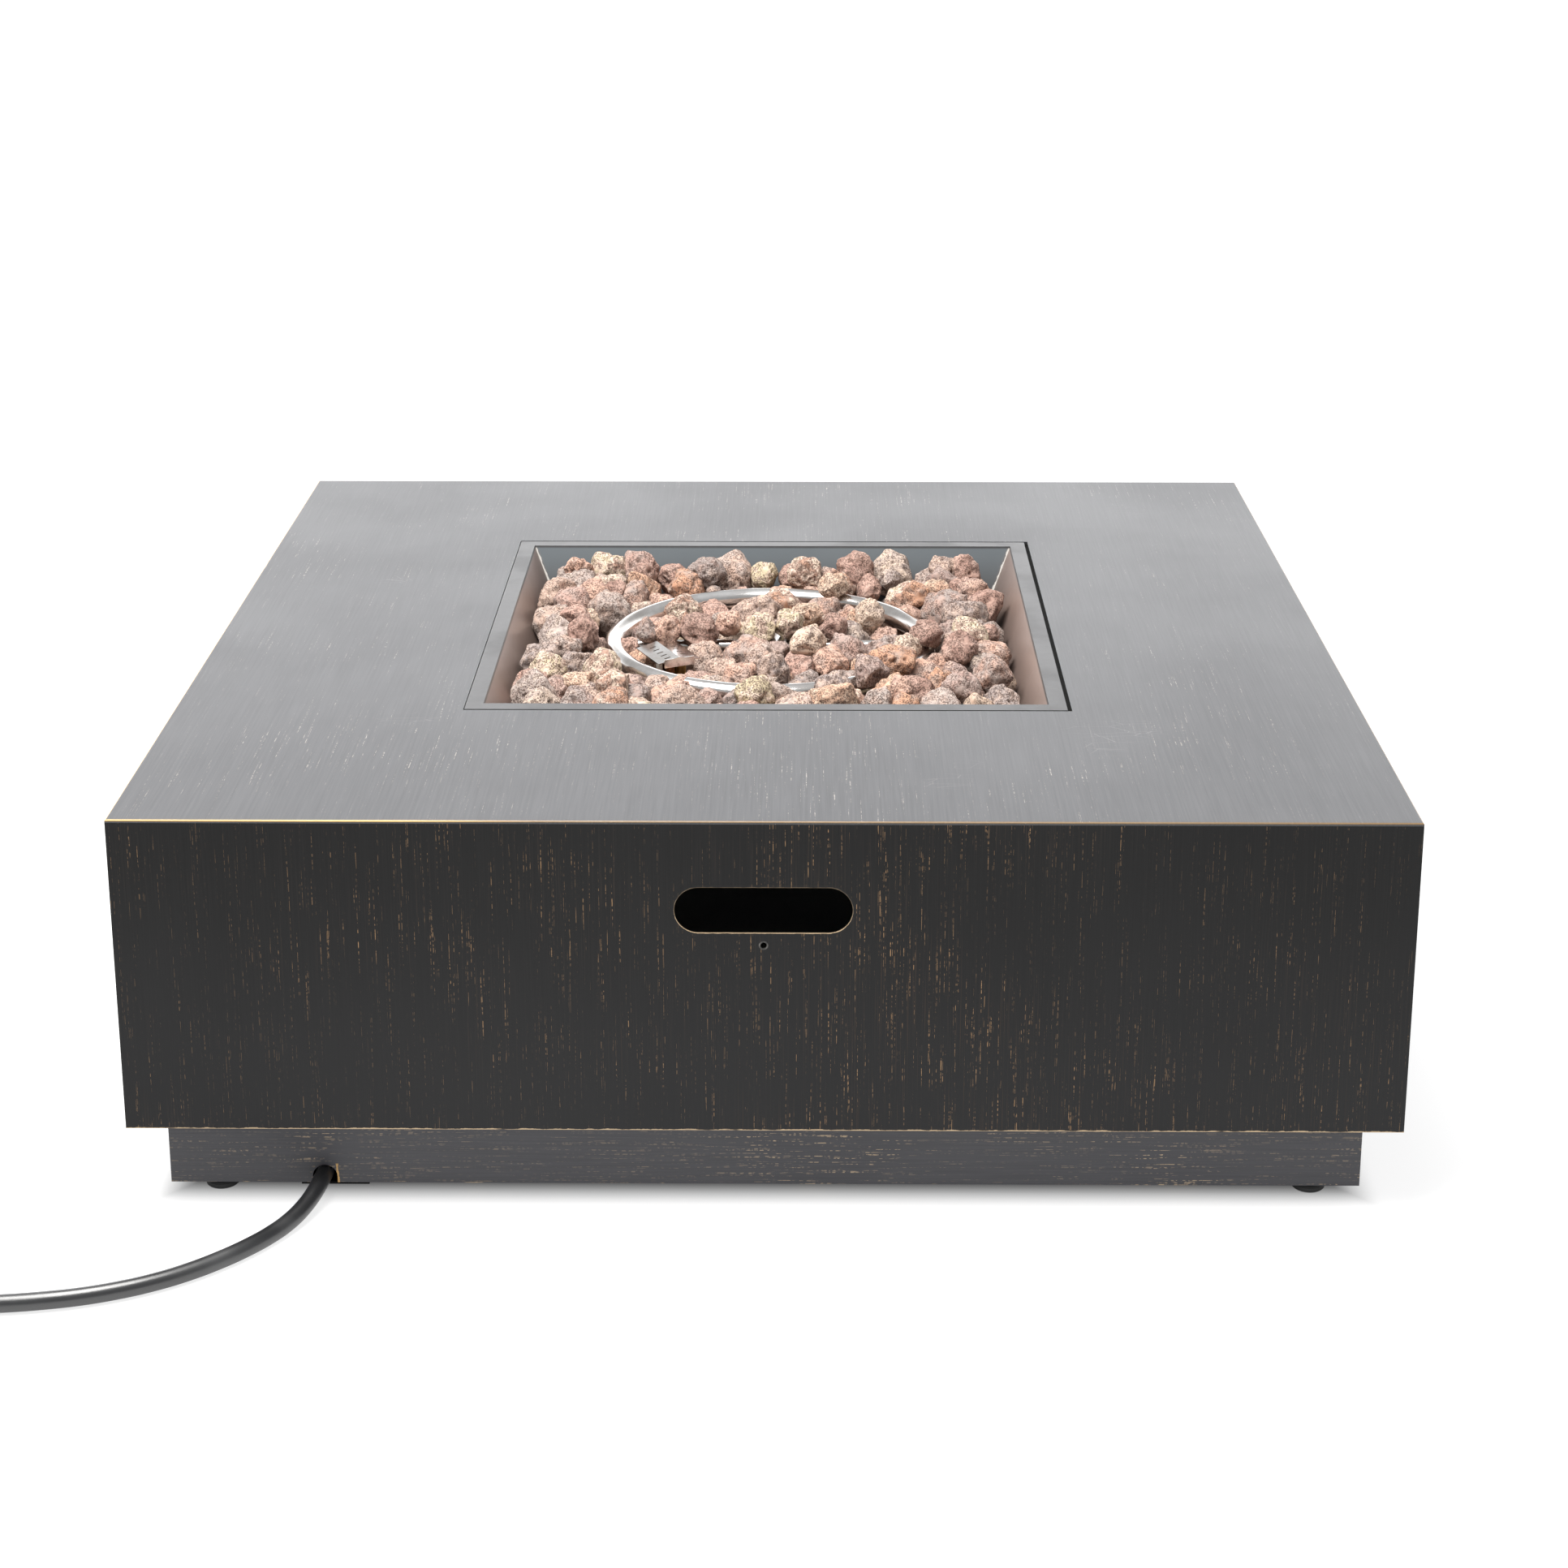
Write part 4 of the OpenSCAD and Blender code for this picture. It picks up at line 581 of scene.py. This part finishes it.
def galvanised():
    """Zinc-dipped sheet with its spangle."""
    material, tree, shader, place = start_material("galvanised")
    spangle = add(tree, "ShaderNodeTexVoronoi", {"Vector": place, "Scale": 70.0}).outputs["Color"]
    tone = add(tree, "ShaderNodeSeparateXYZ", {0: spangle}).outputs[0]
    worn = worn_places(tree, place, 30.0, (0.3, 0.5))
    colour = mix_colour(tree, tone, (0.42, 0.43, 0.44), (0.66, 0.67, 0.68))
    link(tree, shader, colour=colour, rough=worn["Rough"], normal=bump(tree, worn["Height"], 0.06, 0.0003))
    shader.inputs["Metallic"].default_value = 1.0
    return material


def moulded(name, dark, bright, rough, scale=900.0, grain=0.2):
    """Moulded plastic, rubber or ceramic with a fine skin."""
    material, tree, shader, place = start_material(name)
    skin = noise(tree, place, scale, 3.0, 0.6)
    broad = noise(tree, place, scale / 30, 3.0, 0.6)
    link(tree, shader, colour=mix_colour(tree, broad, dark, bright),
         rough=ramp_between(tree, broad, 0.3, 0.7, *rough), normal=bump(tree, skin, grain, 0.0002))
    return material


def hose_rubber():
    """Smooth extruded rubber with a fine skin and a little dust."""
    material, tree, shader, place = start_material("hose_rubber")
    marks = place_group(tree, HANDLING, Vector=place, Scale=16.0)
    skin = noise(tree, place, 700.0, 3.0, 0.55)
    colour = mix_colour(tree, ramp_between(tree, marks["Smears"], 0.45, 0.75), (0.014, 0.0145, 0.016),
                        (0.040, 0.041, 0.043))
    link(tree, shader, colour=colour, rough=ramp_between(tree, marks["Smears"], 0.3, 0.7, 0.30, 0.42),
         normal=bump(tree, skin, 0.06, 0.0002))
    shader.inputs["Specular IOR Level"].default_value = 1.0
    return material


def strap_weave():
    """Woven nylon of the tie."""
    material, tree, shader, place = start_material("strap_weave")
    threads = []
    for scale, direction in ((190.0, "Z"), (230.0, "X")):
        wave = add(tree, "ShaderNodeTexWave", {"Vector": place, "Scale": scale, "Distortion": 0.6},
                   bands_direction=direction)
        threads.append(wave.outputs[1])
    weave = times(tree, *threads)
    colour = mix_colour(tree, weave, (0.012, 0.012, 0.013), (0.05, 0.05, 0.052))
    link(tree, shader, colour=colour, rough=ramp_between(tree, weave, 0.0, 1.0, 0.85, 0.7),
         normal=bump(tree, weave, 0.5, 0.0004))
    return material


def rivet_nut_shade():
    """The rivet nut, tinted near black as painted shade so that its wide flange reads as the shaded hole,
    and rubbed back to metal in places.
    """
    return metal("rivet_nut_shade", (0.03, 0.03, 0.03), (0.16, 0.15, 0.14), (0.35, 0.5), 300.0, 0.6)


# Each rock's tone, from 0 to 1, and the colour of the lava there
ROCK_COLOURS = [
    (0.00, (0.30, 0.185, 0.15)), (0.12, (0.46, 0.29, 0.235)), (0.24, (0.33, 0.25, 0.225)),
    (0.36, (0.56, 0.345, 0.26)), (0.48, (0.29, 0.245, 0.23)), (0.58, (0.52, 0.365, 0.29)),
    (0.68, (0.36, 0.30, 0.275)), (0.78, (0.60, 0.455, 0.35)), (0.86, (0.50, 0.27, 0.17)),
    (0.92, (0.36, 0.245, 0.195)), (0.95, (0.66, 0.52, 0.42)), (0.985, (0.47, 0.385, 0.25)),
]
ROCK_PALE = (0.68, 0.58, 0.50)
# Painted shade: the dark brown of the rocks' holes and pits
ROCK_HOLE_SHADE = (0.085, 0.052, 0.042)


def lava_rock():
    """Dull porous lava: a colour for each rock, paler mottling, and painted shade darkening its holes and
    pits.
    """
    material, tree, shader, place = start_material("lava_rock")
    tone = add(tree, "ShaderNodeAttribute", attribute_name="rock_tone").outputs["Fac"]
    pit = add(tree, "ShaderNodeAttribute", attribute_name="rock_pit_shade").outputs["Fac"]
    pores = place_group(tree, PORES, Vector=place, Size=1.0)
    shifted = math_node(tree, "ADD", tone, ramp_between(tree, pores["Mottle"], 0.3, 0.7, -0.045, 0.045))
    ramp = add(tree, "ShaderNodeValToRGB", {0: shifted})
    stops = ramp.color_ramp.elements
    while len(stops) < len(ROCK_COLOURS):
        stops.new(0.5)
    for stop, (place_on, colour) in zip(stops, ROCK_COLOURS):
        stop.position = place_on
        stop.color = (*colour, 1)
    pale = ramp_between(tree, pores["Mottle"], 0.35, 0.75, 0.0, 0.22)
    mottled = mix_colour(tree, pale, ramp.outputs[0], ROCK_PALE)
    # Painted shade: darker in the shader's holes and in the modelled pits
    dark = math_node(tree, "MAXIMUM", times(tree, pores["Holes"], 0.9), pit, True)
    colour = mix_colour(tree, times(tree, dark, 0.82), mottled, ROCK_HOLE_SHADE)
    shader.inputs["Roughness"].default_value = 0.92
    shader.inputs["Specular IOR Level"].default_value = 0.25
    link(tree, shader, colour=colour, normal=bump(tree, pores["Height"], 0.8, 0.0010))
    return material


# Darker and brighter tint, roughness range, scale of the mottling, metallic, grain and shine
METALS = {
    # dark_frame is tinted near black as painted shade, so the frame in the gaps beside the pan reads black
    "dark_frame": ((0.003, 0.003, 0.003), (0.007, 0.0065, 0.006), (0.6, 0.8), 40.0, 0.0, 0.08, 0.06),
    "zinc": ((0.45, 0.45, 0.43), (0.68, 0.67, 0.64), (0.25, 0.45), 120.0),
    "brass": ((0.42, 0.27, 0.09), (0.74, 0.53, 0.22), (0.2, 0.42), 90.0),
    "aluminium": ((0.58, 0.58, 0.58), (0.78, 0.78, 0.77), (0.28, 0.5), 80.0),
    "copper": ((0.36, 0.16, 0.08), (0.72, 0.36, 0.20), (0.2, 0.45), 90.0),
    "black_steel": ((0.014, 0.014, 0.015), (0.030, 0.030, 0.032), (0.4, 0.6), 50.0, 0.0, 0.2),
    "regulator_metal": ((0.20, 0.205, 0.21), (0.34, 0.345, 0.35), (0.4, 0.6), 110.0, 0.4, 0.25),
}
# Darker and brighter tint, and roughness range
MOULDINGS = {
    "ceramic": ((0.70, 0.67, 0.60), (0.84, 0.82, 0.77), (0.15, 0.3)),
    "black_plastic": ((0.010, 0.010, 0.011), (0.022, 0.022, 0.023), (0.35, 0.5)),
    "red_plastic": ((0.24, 0.012, 0.010), (0.40, 0.026, 0.018), (0.3, 0.45)),
    "wire_sleeve": ((0.34, 0.05, 0.025), (0.52, 0.10, 0.05), (0.4, 0.6)),
    "foot_rubber": ((0.008, 0.008, 0.008), (0.018, 0.018, 0.018), (0.38, 0.55)),
}


def make_finishes():
    """Every material slot's finish, by the slot's name."""
    made = {
        "top_paint": top_paint(), "side_paint": side_paint(), "plinth_paint": plinth_paint(),
        "pan_paint": pan_paint(), "stainless": stainless(), "galvanised": galvanised(),
        "hose_rubber": hose_rubber(), "lava_rock": lava_rock(),
    }
    for name, look in METALS.items():
        made[name] = metal(name, *look)
    for name, look in MOULDINGS.items():
        made[name] = moulded(name, *look)
    return made


def finish_cad_nodes(finishes):
    """Gives each CAD node its slot's finish, and the tie and the rivet nut their own."""
    slot_of = {part["node"]: part["material_slot"] for part in frame["record"]["subparts"]}
    for name, node in frame["nodes"].items():
        finish = finishes[slot_of[name]]
        if not node.material_slots:
            node.data.materials.append(finish)
        for material_slot in node.material_slots:
            material_slot.material = finish
    # The rivet nut's near-black finish is painted shade
    for name, own in (("hose_tie", strap_weave()), ("rivet_nut", rivet_nut_shade())):
        for material_slot in frame["nodes"][name].material_slots:
            material_slot.material = own


# ---------------------------------------------------------------- lava rock
ROCK_SEED = 41
# Half the width kept clear in front of the hood, and how far the low rocks reach behind and before it
HOOD_ROOM = 0.044
HOOD_BEHIND, HOOD_BEFORE = 0.045, 0.060
# Degrees round the ring, from the right, where rocks lie over the tube
COVERED_ARCS = [(55, 75), (-165, -80), (-60, -5)]
# Times that each rock's sphere is split, for upper, small and bed rocks
DETAIL_TOP, DETAIL_SMALL, DETAIL_BED = 4, 3, 3
SMALL_ROCK = 0.0125
ROCKS_IN_PIECE = 32
# Broken flats of a rock, and how deep they cut, in parts of its size
FLATS = 8
FLAT_NEAR, FLAT_FAR = 0.72, 0.96
# How far a rock is blown up to fill its solid, and the most that it may stand out of it
FILL, FILL_LIMIT = 1.18, 1.20
# Depth and wavelength of the lumps and of the rough skin, in metres
LUMP, LUMP_LENGTH = 0.00075, 0.0085
SKIN, SKIN_LENGTH = 0.0003, 0.004
# Spacing, smallest radius, and range of radii of the open gas bubbles, in metres
PIT_SPACING, PIT_R, PIT_R_RANGE = 0.0105, 0.0014, 0.0018
PIT_DEPTH = 0.85
# Pit depth, in metres, by which a pit's painted shade is scaled; the shade stops at 0.8
PIT_DARK_AT = 0.0026
# How much of the usual number of pits a rock may have
PITTED = [0.25, 0.7, 1.0, 1.3]


def unit_sphere(level):
    """Directions, triangles and edges of an icosahedron that is split level times."""
    phi = (1 + math.sqrt(5)) / 2
    points = [Vector(p).normalized() for p in [
        (-1, phi, 0), (1, phi, 0), (-1, -phi, 0), (1, -phi, 0), (0, -1, phi), (0, 1, phi),
        (0, -1, -phi), (0, 1, -phi), (phi, 0, -1), (phi, 0, 1), (-phi, 0, -1), (-phi, 0, 1)]]
    faces = [(0, 11, 5), (0, 5, 1), (0, 1, 7), (0, 7, 10), (0, 10, 11), (1, 5, 9), (5, 11, 4), (11, 10, 2),
             (10, 7, 6), (7, 1, 8), (3, 9, 4), (3, 4, 2), (3, 2, 6), (3, 6, 8), (3, 8, 9), (4, 9, 5),
             (2, 4, 11), (6, 2, 10), (8, 6, 7), (9, 8, 1)]
    for _ in range(level):
        middle, split = {}, []
        for a, b, c in faces:
            mids = []
            for pair in ((a, b), (b, c), (c, a)):
                key = tuple(sorted(pair))
                if key not in middle:
                    middle[key] = len(points)
                    points.append((points[key[0]] + points[key[1]]).normalized())
                mids.append(middle[key])
            ab, bc, ca = mids
            split += [(a, ab, ca), (ab, b, bc), (ca, bc, c), (ab, bc, ca)]
        faces = split
    faces = np.array(faces)
    sides = np.concatenate([faces[:, [0, 1]], faces[:, [1, 2]], faces[:, [2, 0]]])
    edges = np.unique(np.sort(sides, axis=1), axis=0)
    return np.array(points), faces, edges


def solids_of(node):
    """Corners and triangles of each separate solid of a CAD node, as (corners, triangles)."""
    mesh = frame["nodes"][node].data
    mesh.calc_loop_triangles()
    corners = np.zeros(len(mesh.vertices) * 3)
    mesh.vertices.foreach_get("co", corners)
    keys = np.round(corners.reshape(-1, 3) * 1e6).astype(np.int64)
    unique, index = np.unique(keys, axis=0, return_inverse=True)
    triangles = np.zeros(len(mesh.loop_triangles) * 3, np.int32)
    mesh.loop_triangles.foreach_get("vertices", triangles)
    triangles = index.reshape(-1)[triangles].reshape(-1, 3)
    group = np.arange(len(unique))
    changed = True
    while changed:
        lowest = group[triangles].min(axis=1)
        before = group.copy()
        for column in range(3):
            np.minimum.at(group, triangles[:, column], lowest)
        changed = bool((group != before).any())
    for label in np.unique(group[triangles[:, 0]]):
        members = triangles[group[triangles[:, 0]] == label]
        used = np.unique(members)
        yield unique[used] * 1e-6, np.searchsorted(used, members)


def reach_along(directions, corners, triangles):
    """How far a star-shaped solid reaches from its middle along each direction."""
    best = np.full(len(directions), -1e9)
    reach = np.full(len(directions), np.linalg.norm(corners, axis=1).mean())
    for triangle in triangles:
        basis = corners[triangle].T
        if abs(np.linalg.det(basis)) < 1e-12:
            continue
        weights = directions @ np.linalg.inv(basis).T
        inside = weights.min(axis=1) / np.abs(weights).max(axis=1)
        total = weights.sum(axis=1)
        better = (inside > best) & (total > 1e-6)
        best[better] = inside[better]
        reach[better] = 1 / total[better]
    return reach


def spread(values, edges, count):
    """Averages each value with its neighbours' mean, count times."""
    number = np.bincount(edges.ravel(), minlength=len(values))
    for _ in range(count):
        total = np.zeros(len(values))
        for a, b in ((0, 1), (1, 0)):
            np.add.at(total, edges[:, a], values[edges[:, b]])
        values = 0.4 * values + 0.6 * total / number
    return values


def waves(points, wavelength, count, rng):
    """Smooth random field, about -1 to 1."""
    heading = rng.normal(size=(count, 3))
    heading /= np.linalg.norm(heading, axis=1)[:, None]
    pace = 2 * math.pi / wavelength * rng.uniform(0.7, 1.4, count)
    start = rng.uniform(0, 2 * math.pi, count)
    return np.sin(points @ (heading * pace[:, None]).T + start).sum(axis=1) / math.sqrt(count)


def rock_lid(middle):
    """Height that a rock stays under, so that the pilot hood and the open arcs of the ring stay bare."""
    in_front = hood_low.y - middle[1]
    if abs(middle[0] - HOOD_MID.x) < HOOD_ROOM and -HOOD_BEHIND < in_front < HOOD_BEFORE:
        return hood_low.z - 0.001 + 0.3 * max(in_front - 0.012, 0)
    across, along = middle[0] - RING_MID.x, middle[1] - RING_MID.y
    angle = math.degrees(math.atan2(along, across))
    covered = any(low < angle < high for low, high in COVERED_ARCS)
    beside = abs(math.hypot(across, along) - RING_R) < 3 * TUBE_R
    return ring_high.z - 0.002 if beside and not covered else ROCK_TOP


def shape_rock(sphere, corners, triangles, rng, pitted):
    """Points of one rock, filled out to its solid, and the painted shade of its pits from their depth."""
    directions, _, edges = sphere
    middle = corners.mean(axis=0)
    reach = reach_along(directions, corners - middle, triangles)
    size = reach.mean()
    smoothing = 6 if len(directions) > 1000 else 2
    reach = spread(reach, edges, smoothing)
    limit = reach * FILL_LIMIT
    for _ in range(FLATS):
        face = rng.normal(size=3)
        face /= np.linalg.norm(face)
        along = directions @ face
        flat = size * rng.uniform(FLAT_NEAR, FLAT_FAR) / np.maximum(along, 0.05)
        cut = np.minimum(reach, flat + 0.06 * np.maximum(reach - flat, 0))
        reach = np.where(along > 0.05, cut, reach)
    reach = spread(reach, edges, 1)
    points = directions * reach[:, None]
    reach = reach * FILL + 0.05 * size * waves(points, 0.9 * size, 9, rng)
    reach += LUMP * waves(points, LUMP_LENGTH, 12, rng) + SKIN * waves(points, SKIN_LENGTH, 14, rng)
    reach = np.minimum(reach, limit + 0.0004 * waves(points, SKIN_LENGTH, 8, rng))
    points = directions * reach[:, None]
    pits = np.zeros(len(points))
    holes = int(pitted * 4 * math.pi * size * size / PIT_SPACING ** 2)
    if holes:
        centres = points[rng.integers(0, len(points), holes)]
        radii = PIT_R + PIT_R_RANGE * rng.random(holes) ** 2.2
        gap = np.linalg.norm(points[:, None, :] - centres[None], axis=2) / radii
        bowl = np.clip(1 - gap * gap, 0, 1)
        sunk = (bowl ** 0.7 * radii).max(axis=1)
        # Painted shade: each pit darkens with its depth
        pits = np.clip(sunk / PIT_DARK_AT, 0, 0.8)
        reach = reach - PIT_DEPTH * sunk
    points = directions * reach[:, None] + middle
    points[:, 2] -= max(points[:, 2].max() - rock_lid(middle), 0)
    return points, pits


def build_rocks(name, node, rocks, rng, detail):
    """One mesh piece of the given rocks, each with its own tone."""
    all_points, all_faces, tones, pit_shades, start = [], [], [], [], 0
    for corners, triangles in rocks:
        size = np.linalg.norm(corners - corners.mean(axis=0), axis=1).mean()
        sphere = SPHERES[DETAIL_SMALL if size < SMALL_ROCK else detail]
        points, pits = shape_rock(sphere, corners, triangles, rng, rng.choice(PITTED))
        all_points.append(points)
        all_faces.append(sphere[1] + start)
        tones.append(np.full(len(points), rng.random()))
        pit_shades.append(pits)
        start += len(points)
    mesh = bpy.data.meshes.new(name)
    mesh.from_pydata(np.concatenate(all_points).tolist(), [], np.concatenate(all_faces).tolist())
    for label, values in (("rock_tone", tones), ("rock_pit_shade", pit_shades)):
        layer = mesh.attributes.new(label, "FLOAT", "POINT")
        layer.data.foreach_set("value", np.concatenate(values).astype(np.float32))
    mesh.shade_smooth()
    mesh.materials.append(finishes["lava_rock"])
    piece = bpy.data.objects.new(name, mesh)
    bpy.context.scene.collection.objects.link(piece)
    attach(piece, "table")
    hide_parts(node)


def make_lava_rock():
    """Replaces the plain rocks of each node with pieces of a few dozen rocks, in a fixed order."""
    for node, detail in (("lava_rocks_bed", DETAIL_BED), ("lava_rocks_outer", DETAIL_TOP),
                         ("lava_rocks_inner", DETAIL_TOP)):
        rng = np.random.default_rng(ROCK_SEED + len(node))
        rocks = sorted(solids_of(node), key=lambda rock: tuple(rock[0].mean(axis=0).round(6)))
        per_piece = ROCKS_IN_PIECE if detail == DETAIL_TOP else len(rocks)
        for number in range(math.ceil(len(rocks) / per_piece)):
            members = rocks[number * per_piece:(number + 1) * per_piece]
            build_rocks(f"{node}_{number + 1}", node, members, rng, detail)


# ---------------------------------------------------------------- studio
FLOOR_HALF = 14
FLOOR_Z = -0.0002
FLOOR_GLOW = 0.78
SKY_FRONT, SKY_SIDE, SKY_BACK, SKY_TOP = 0.42, 0.60, 3.1, 0.2
SKY_SEEN = 1.1
LAMP_POWER = 150
LAMP_AT = (-0.7, -0.5, 2.6)
LAMP_AIM = (0, 0, 0.3)
LAMP_SIZE = (2.0, 1.4)


def make_floor():
    """Pale floor that glows a little, except under the plinth, so that the casing stays dark inside."""
    mesh = bpy.data.meshes.new("floor")
    corners = [(x * FLOOR_HALF, y * FLOOR_HALF, FLOOR_Z) for x, y in ((-1, -1), (1, -1), (1, 1), (-1, 1))]
    mesh.from_pydata(corners, [], [(0, 1, 2, 3)])
    material, tree, shader, place = start_material("pale_floor")
    out = from_middle(tree, place)
    glow = ramp_between(tree, out, plinth_high.x - 0.03, plinth_high.x + 0.02, 0.0, FLOOR_GLOW)
    mottle = noise(tree, place, 3.0, 3.0)
    link(tree, shader, colour=mix_colour(tree, mottle, (0.30, 0.30, 0.30), (0.33, 0.33, 0.33)))
    shader.inputs["Roughness"].default_value = 0.8
    shader.inputs["Emission Color"].default_value = (1, 1, 1, 1)
    tree.links.new(glow, shader.inputs["Emission Strength"])
    mesh.materials.append(material)
    floor = bpy.data.objects.new("floor", mesh)
    bpy.context.scene.collection.objects.link(floor)


def make_light():
    """Even white surround, brighter behind the table, and one wide lamp overhead."""
    world = bpy.data.worlds.new("studio")
    bpy.context.scene.world = world
    world.use_nodes = True
    tree = world.node_tree
    sky = next(n for n in tree.nodes if n.type == "BACKGROUND")
    heading = add(tree, "ShaderNodeTexCoord").outputs["Generated"]
    _, back, up = axes(tree, heading)
    level = ramp_between(tree, back, -0.7, 0.4, SKY_FRONT, SKY_SIDE)
    behind = ramp_between(tree, back, 0.25, 0.85)
    low_back = times(tree, behind, ramp_between(tree, up, 0.12, 0.50, 1.0, 0.0))
    glow = math_node(tree, "ADD", level, times(tree, low_back, SKY_BACK))
    total = math_node(tree, "ADD", glow, ramp_between(tree, up, 0.5, 1.0, 0.0, SKY_TOP))
    seen = add(tree, "ShaderNodeLightPath").outputs["Is Camera Ray"]
    strength = add(tree, "ShaderNodeMix", {0: seen, 2: total, 3: SKY_SEEN}).outputs[0]
    tree.links.new(strength, sky.inputs["Strength"])
    sky.inputs["Color"].default_value = (0.985, 0.99, 1.0, 1)
    lamp = bpy.data.lights.new("overhead_softbox", "AREA")
    lamp.shape = "RECTANGLE"
    lamp.size, lamp.size_y = LAMP_SIZE
    lamp.energy = LAMP_POWER
    lamp.color = (1.0, 0.985, 0.965)
    softbox = bpy.data.objects.new("overhead_softbox", lamp)
    softbox.location = LAMP_AT
    softbox.rotation_euler = (Vector(LAMP_AIM) - Vector(LAMP_AT)).to_track_quat("-Z", "Y").to_euler()
    bpy.context.scene.collection.objects.link(softbox)
    bpy.context.scene.view_settings.view_transform = "Standard"


finishes = make_finishes()
finish_cad_nodes(finishes)
hose.data.materials.append(finishes["hose_rubber"])
SPHERES = {level: unit_sphere(level) for level in {DETAIL_TOP, DETAIL_SMALL, DETAIL_BED}}
make_lava_rock()
make_floor()
make_light()
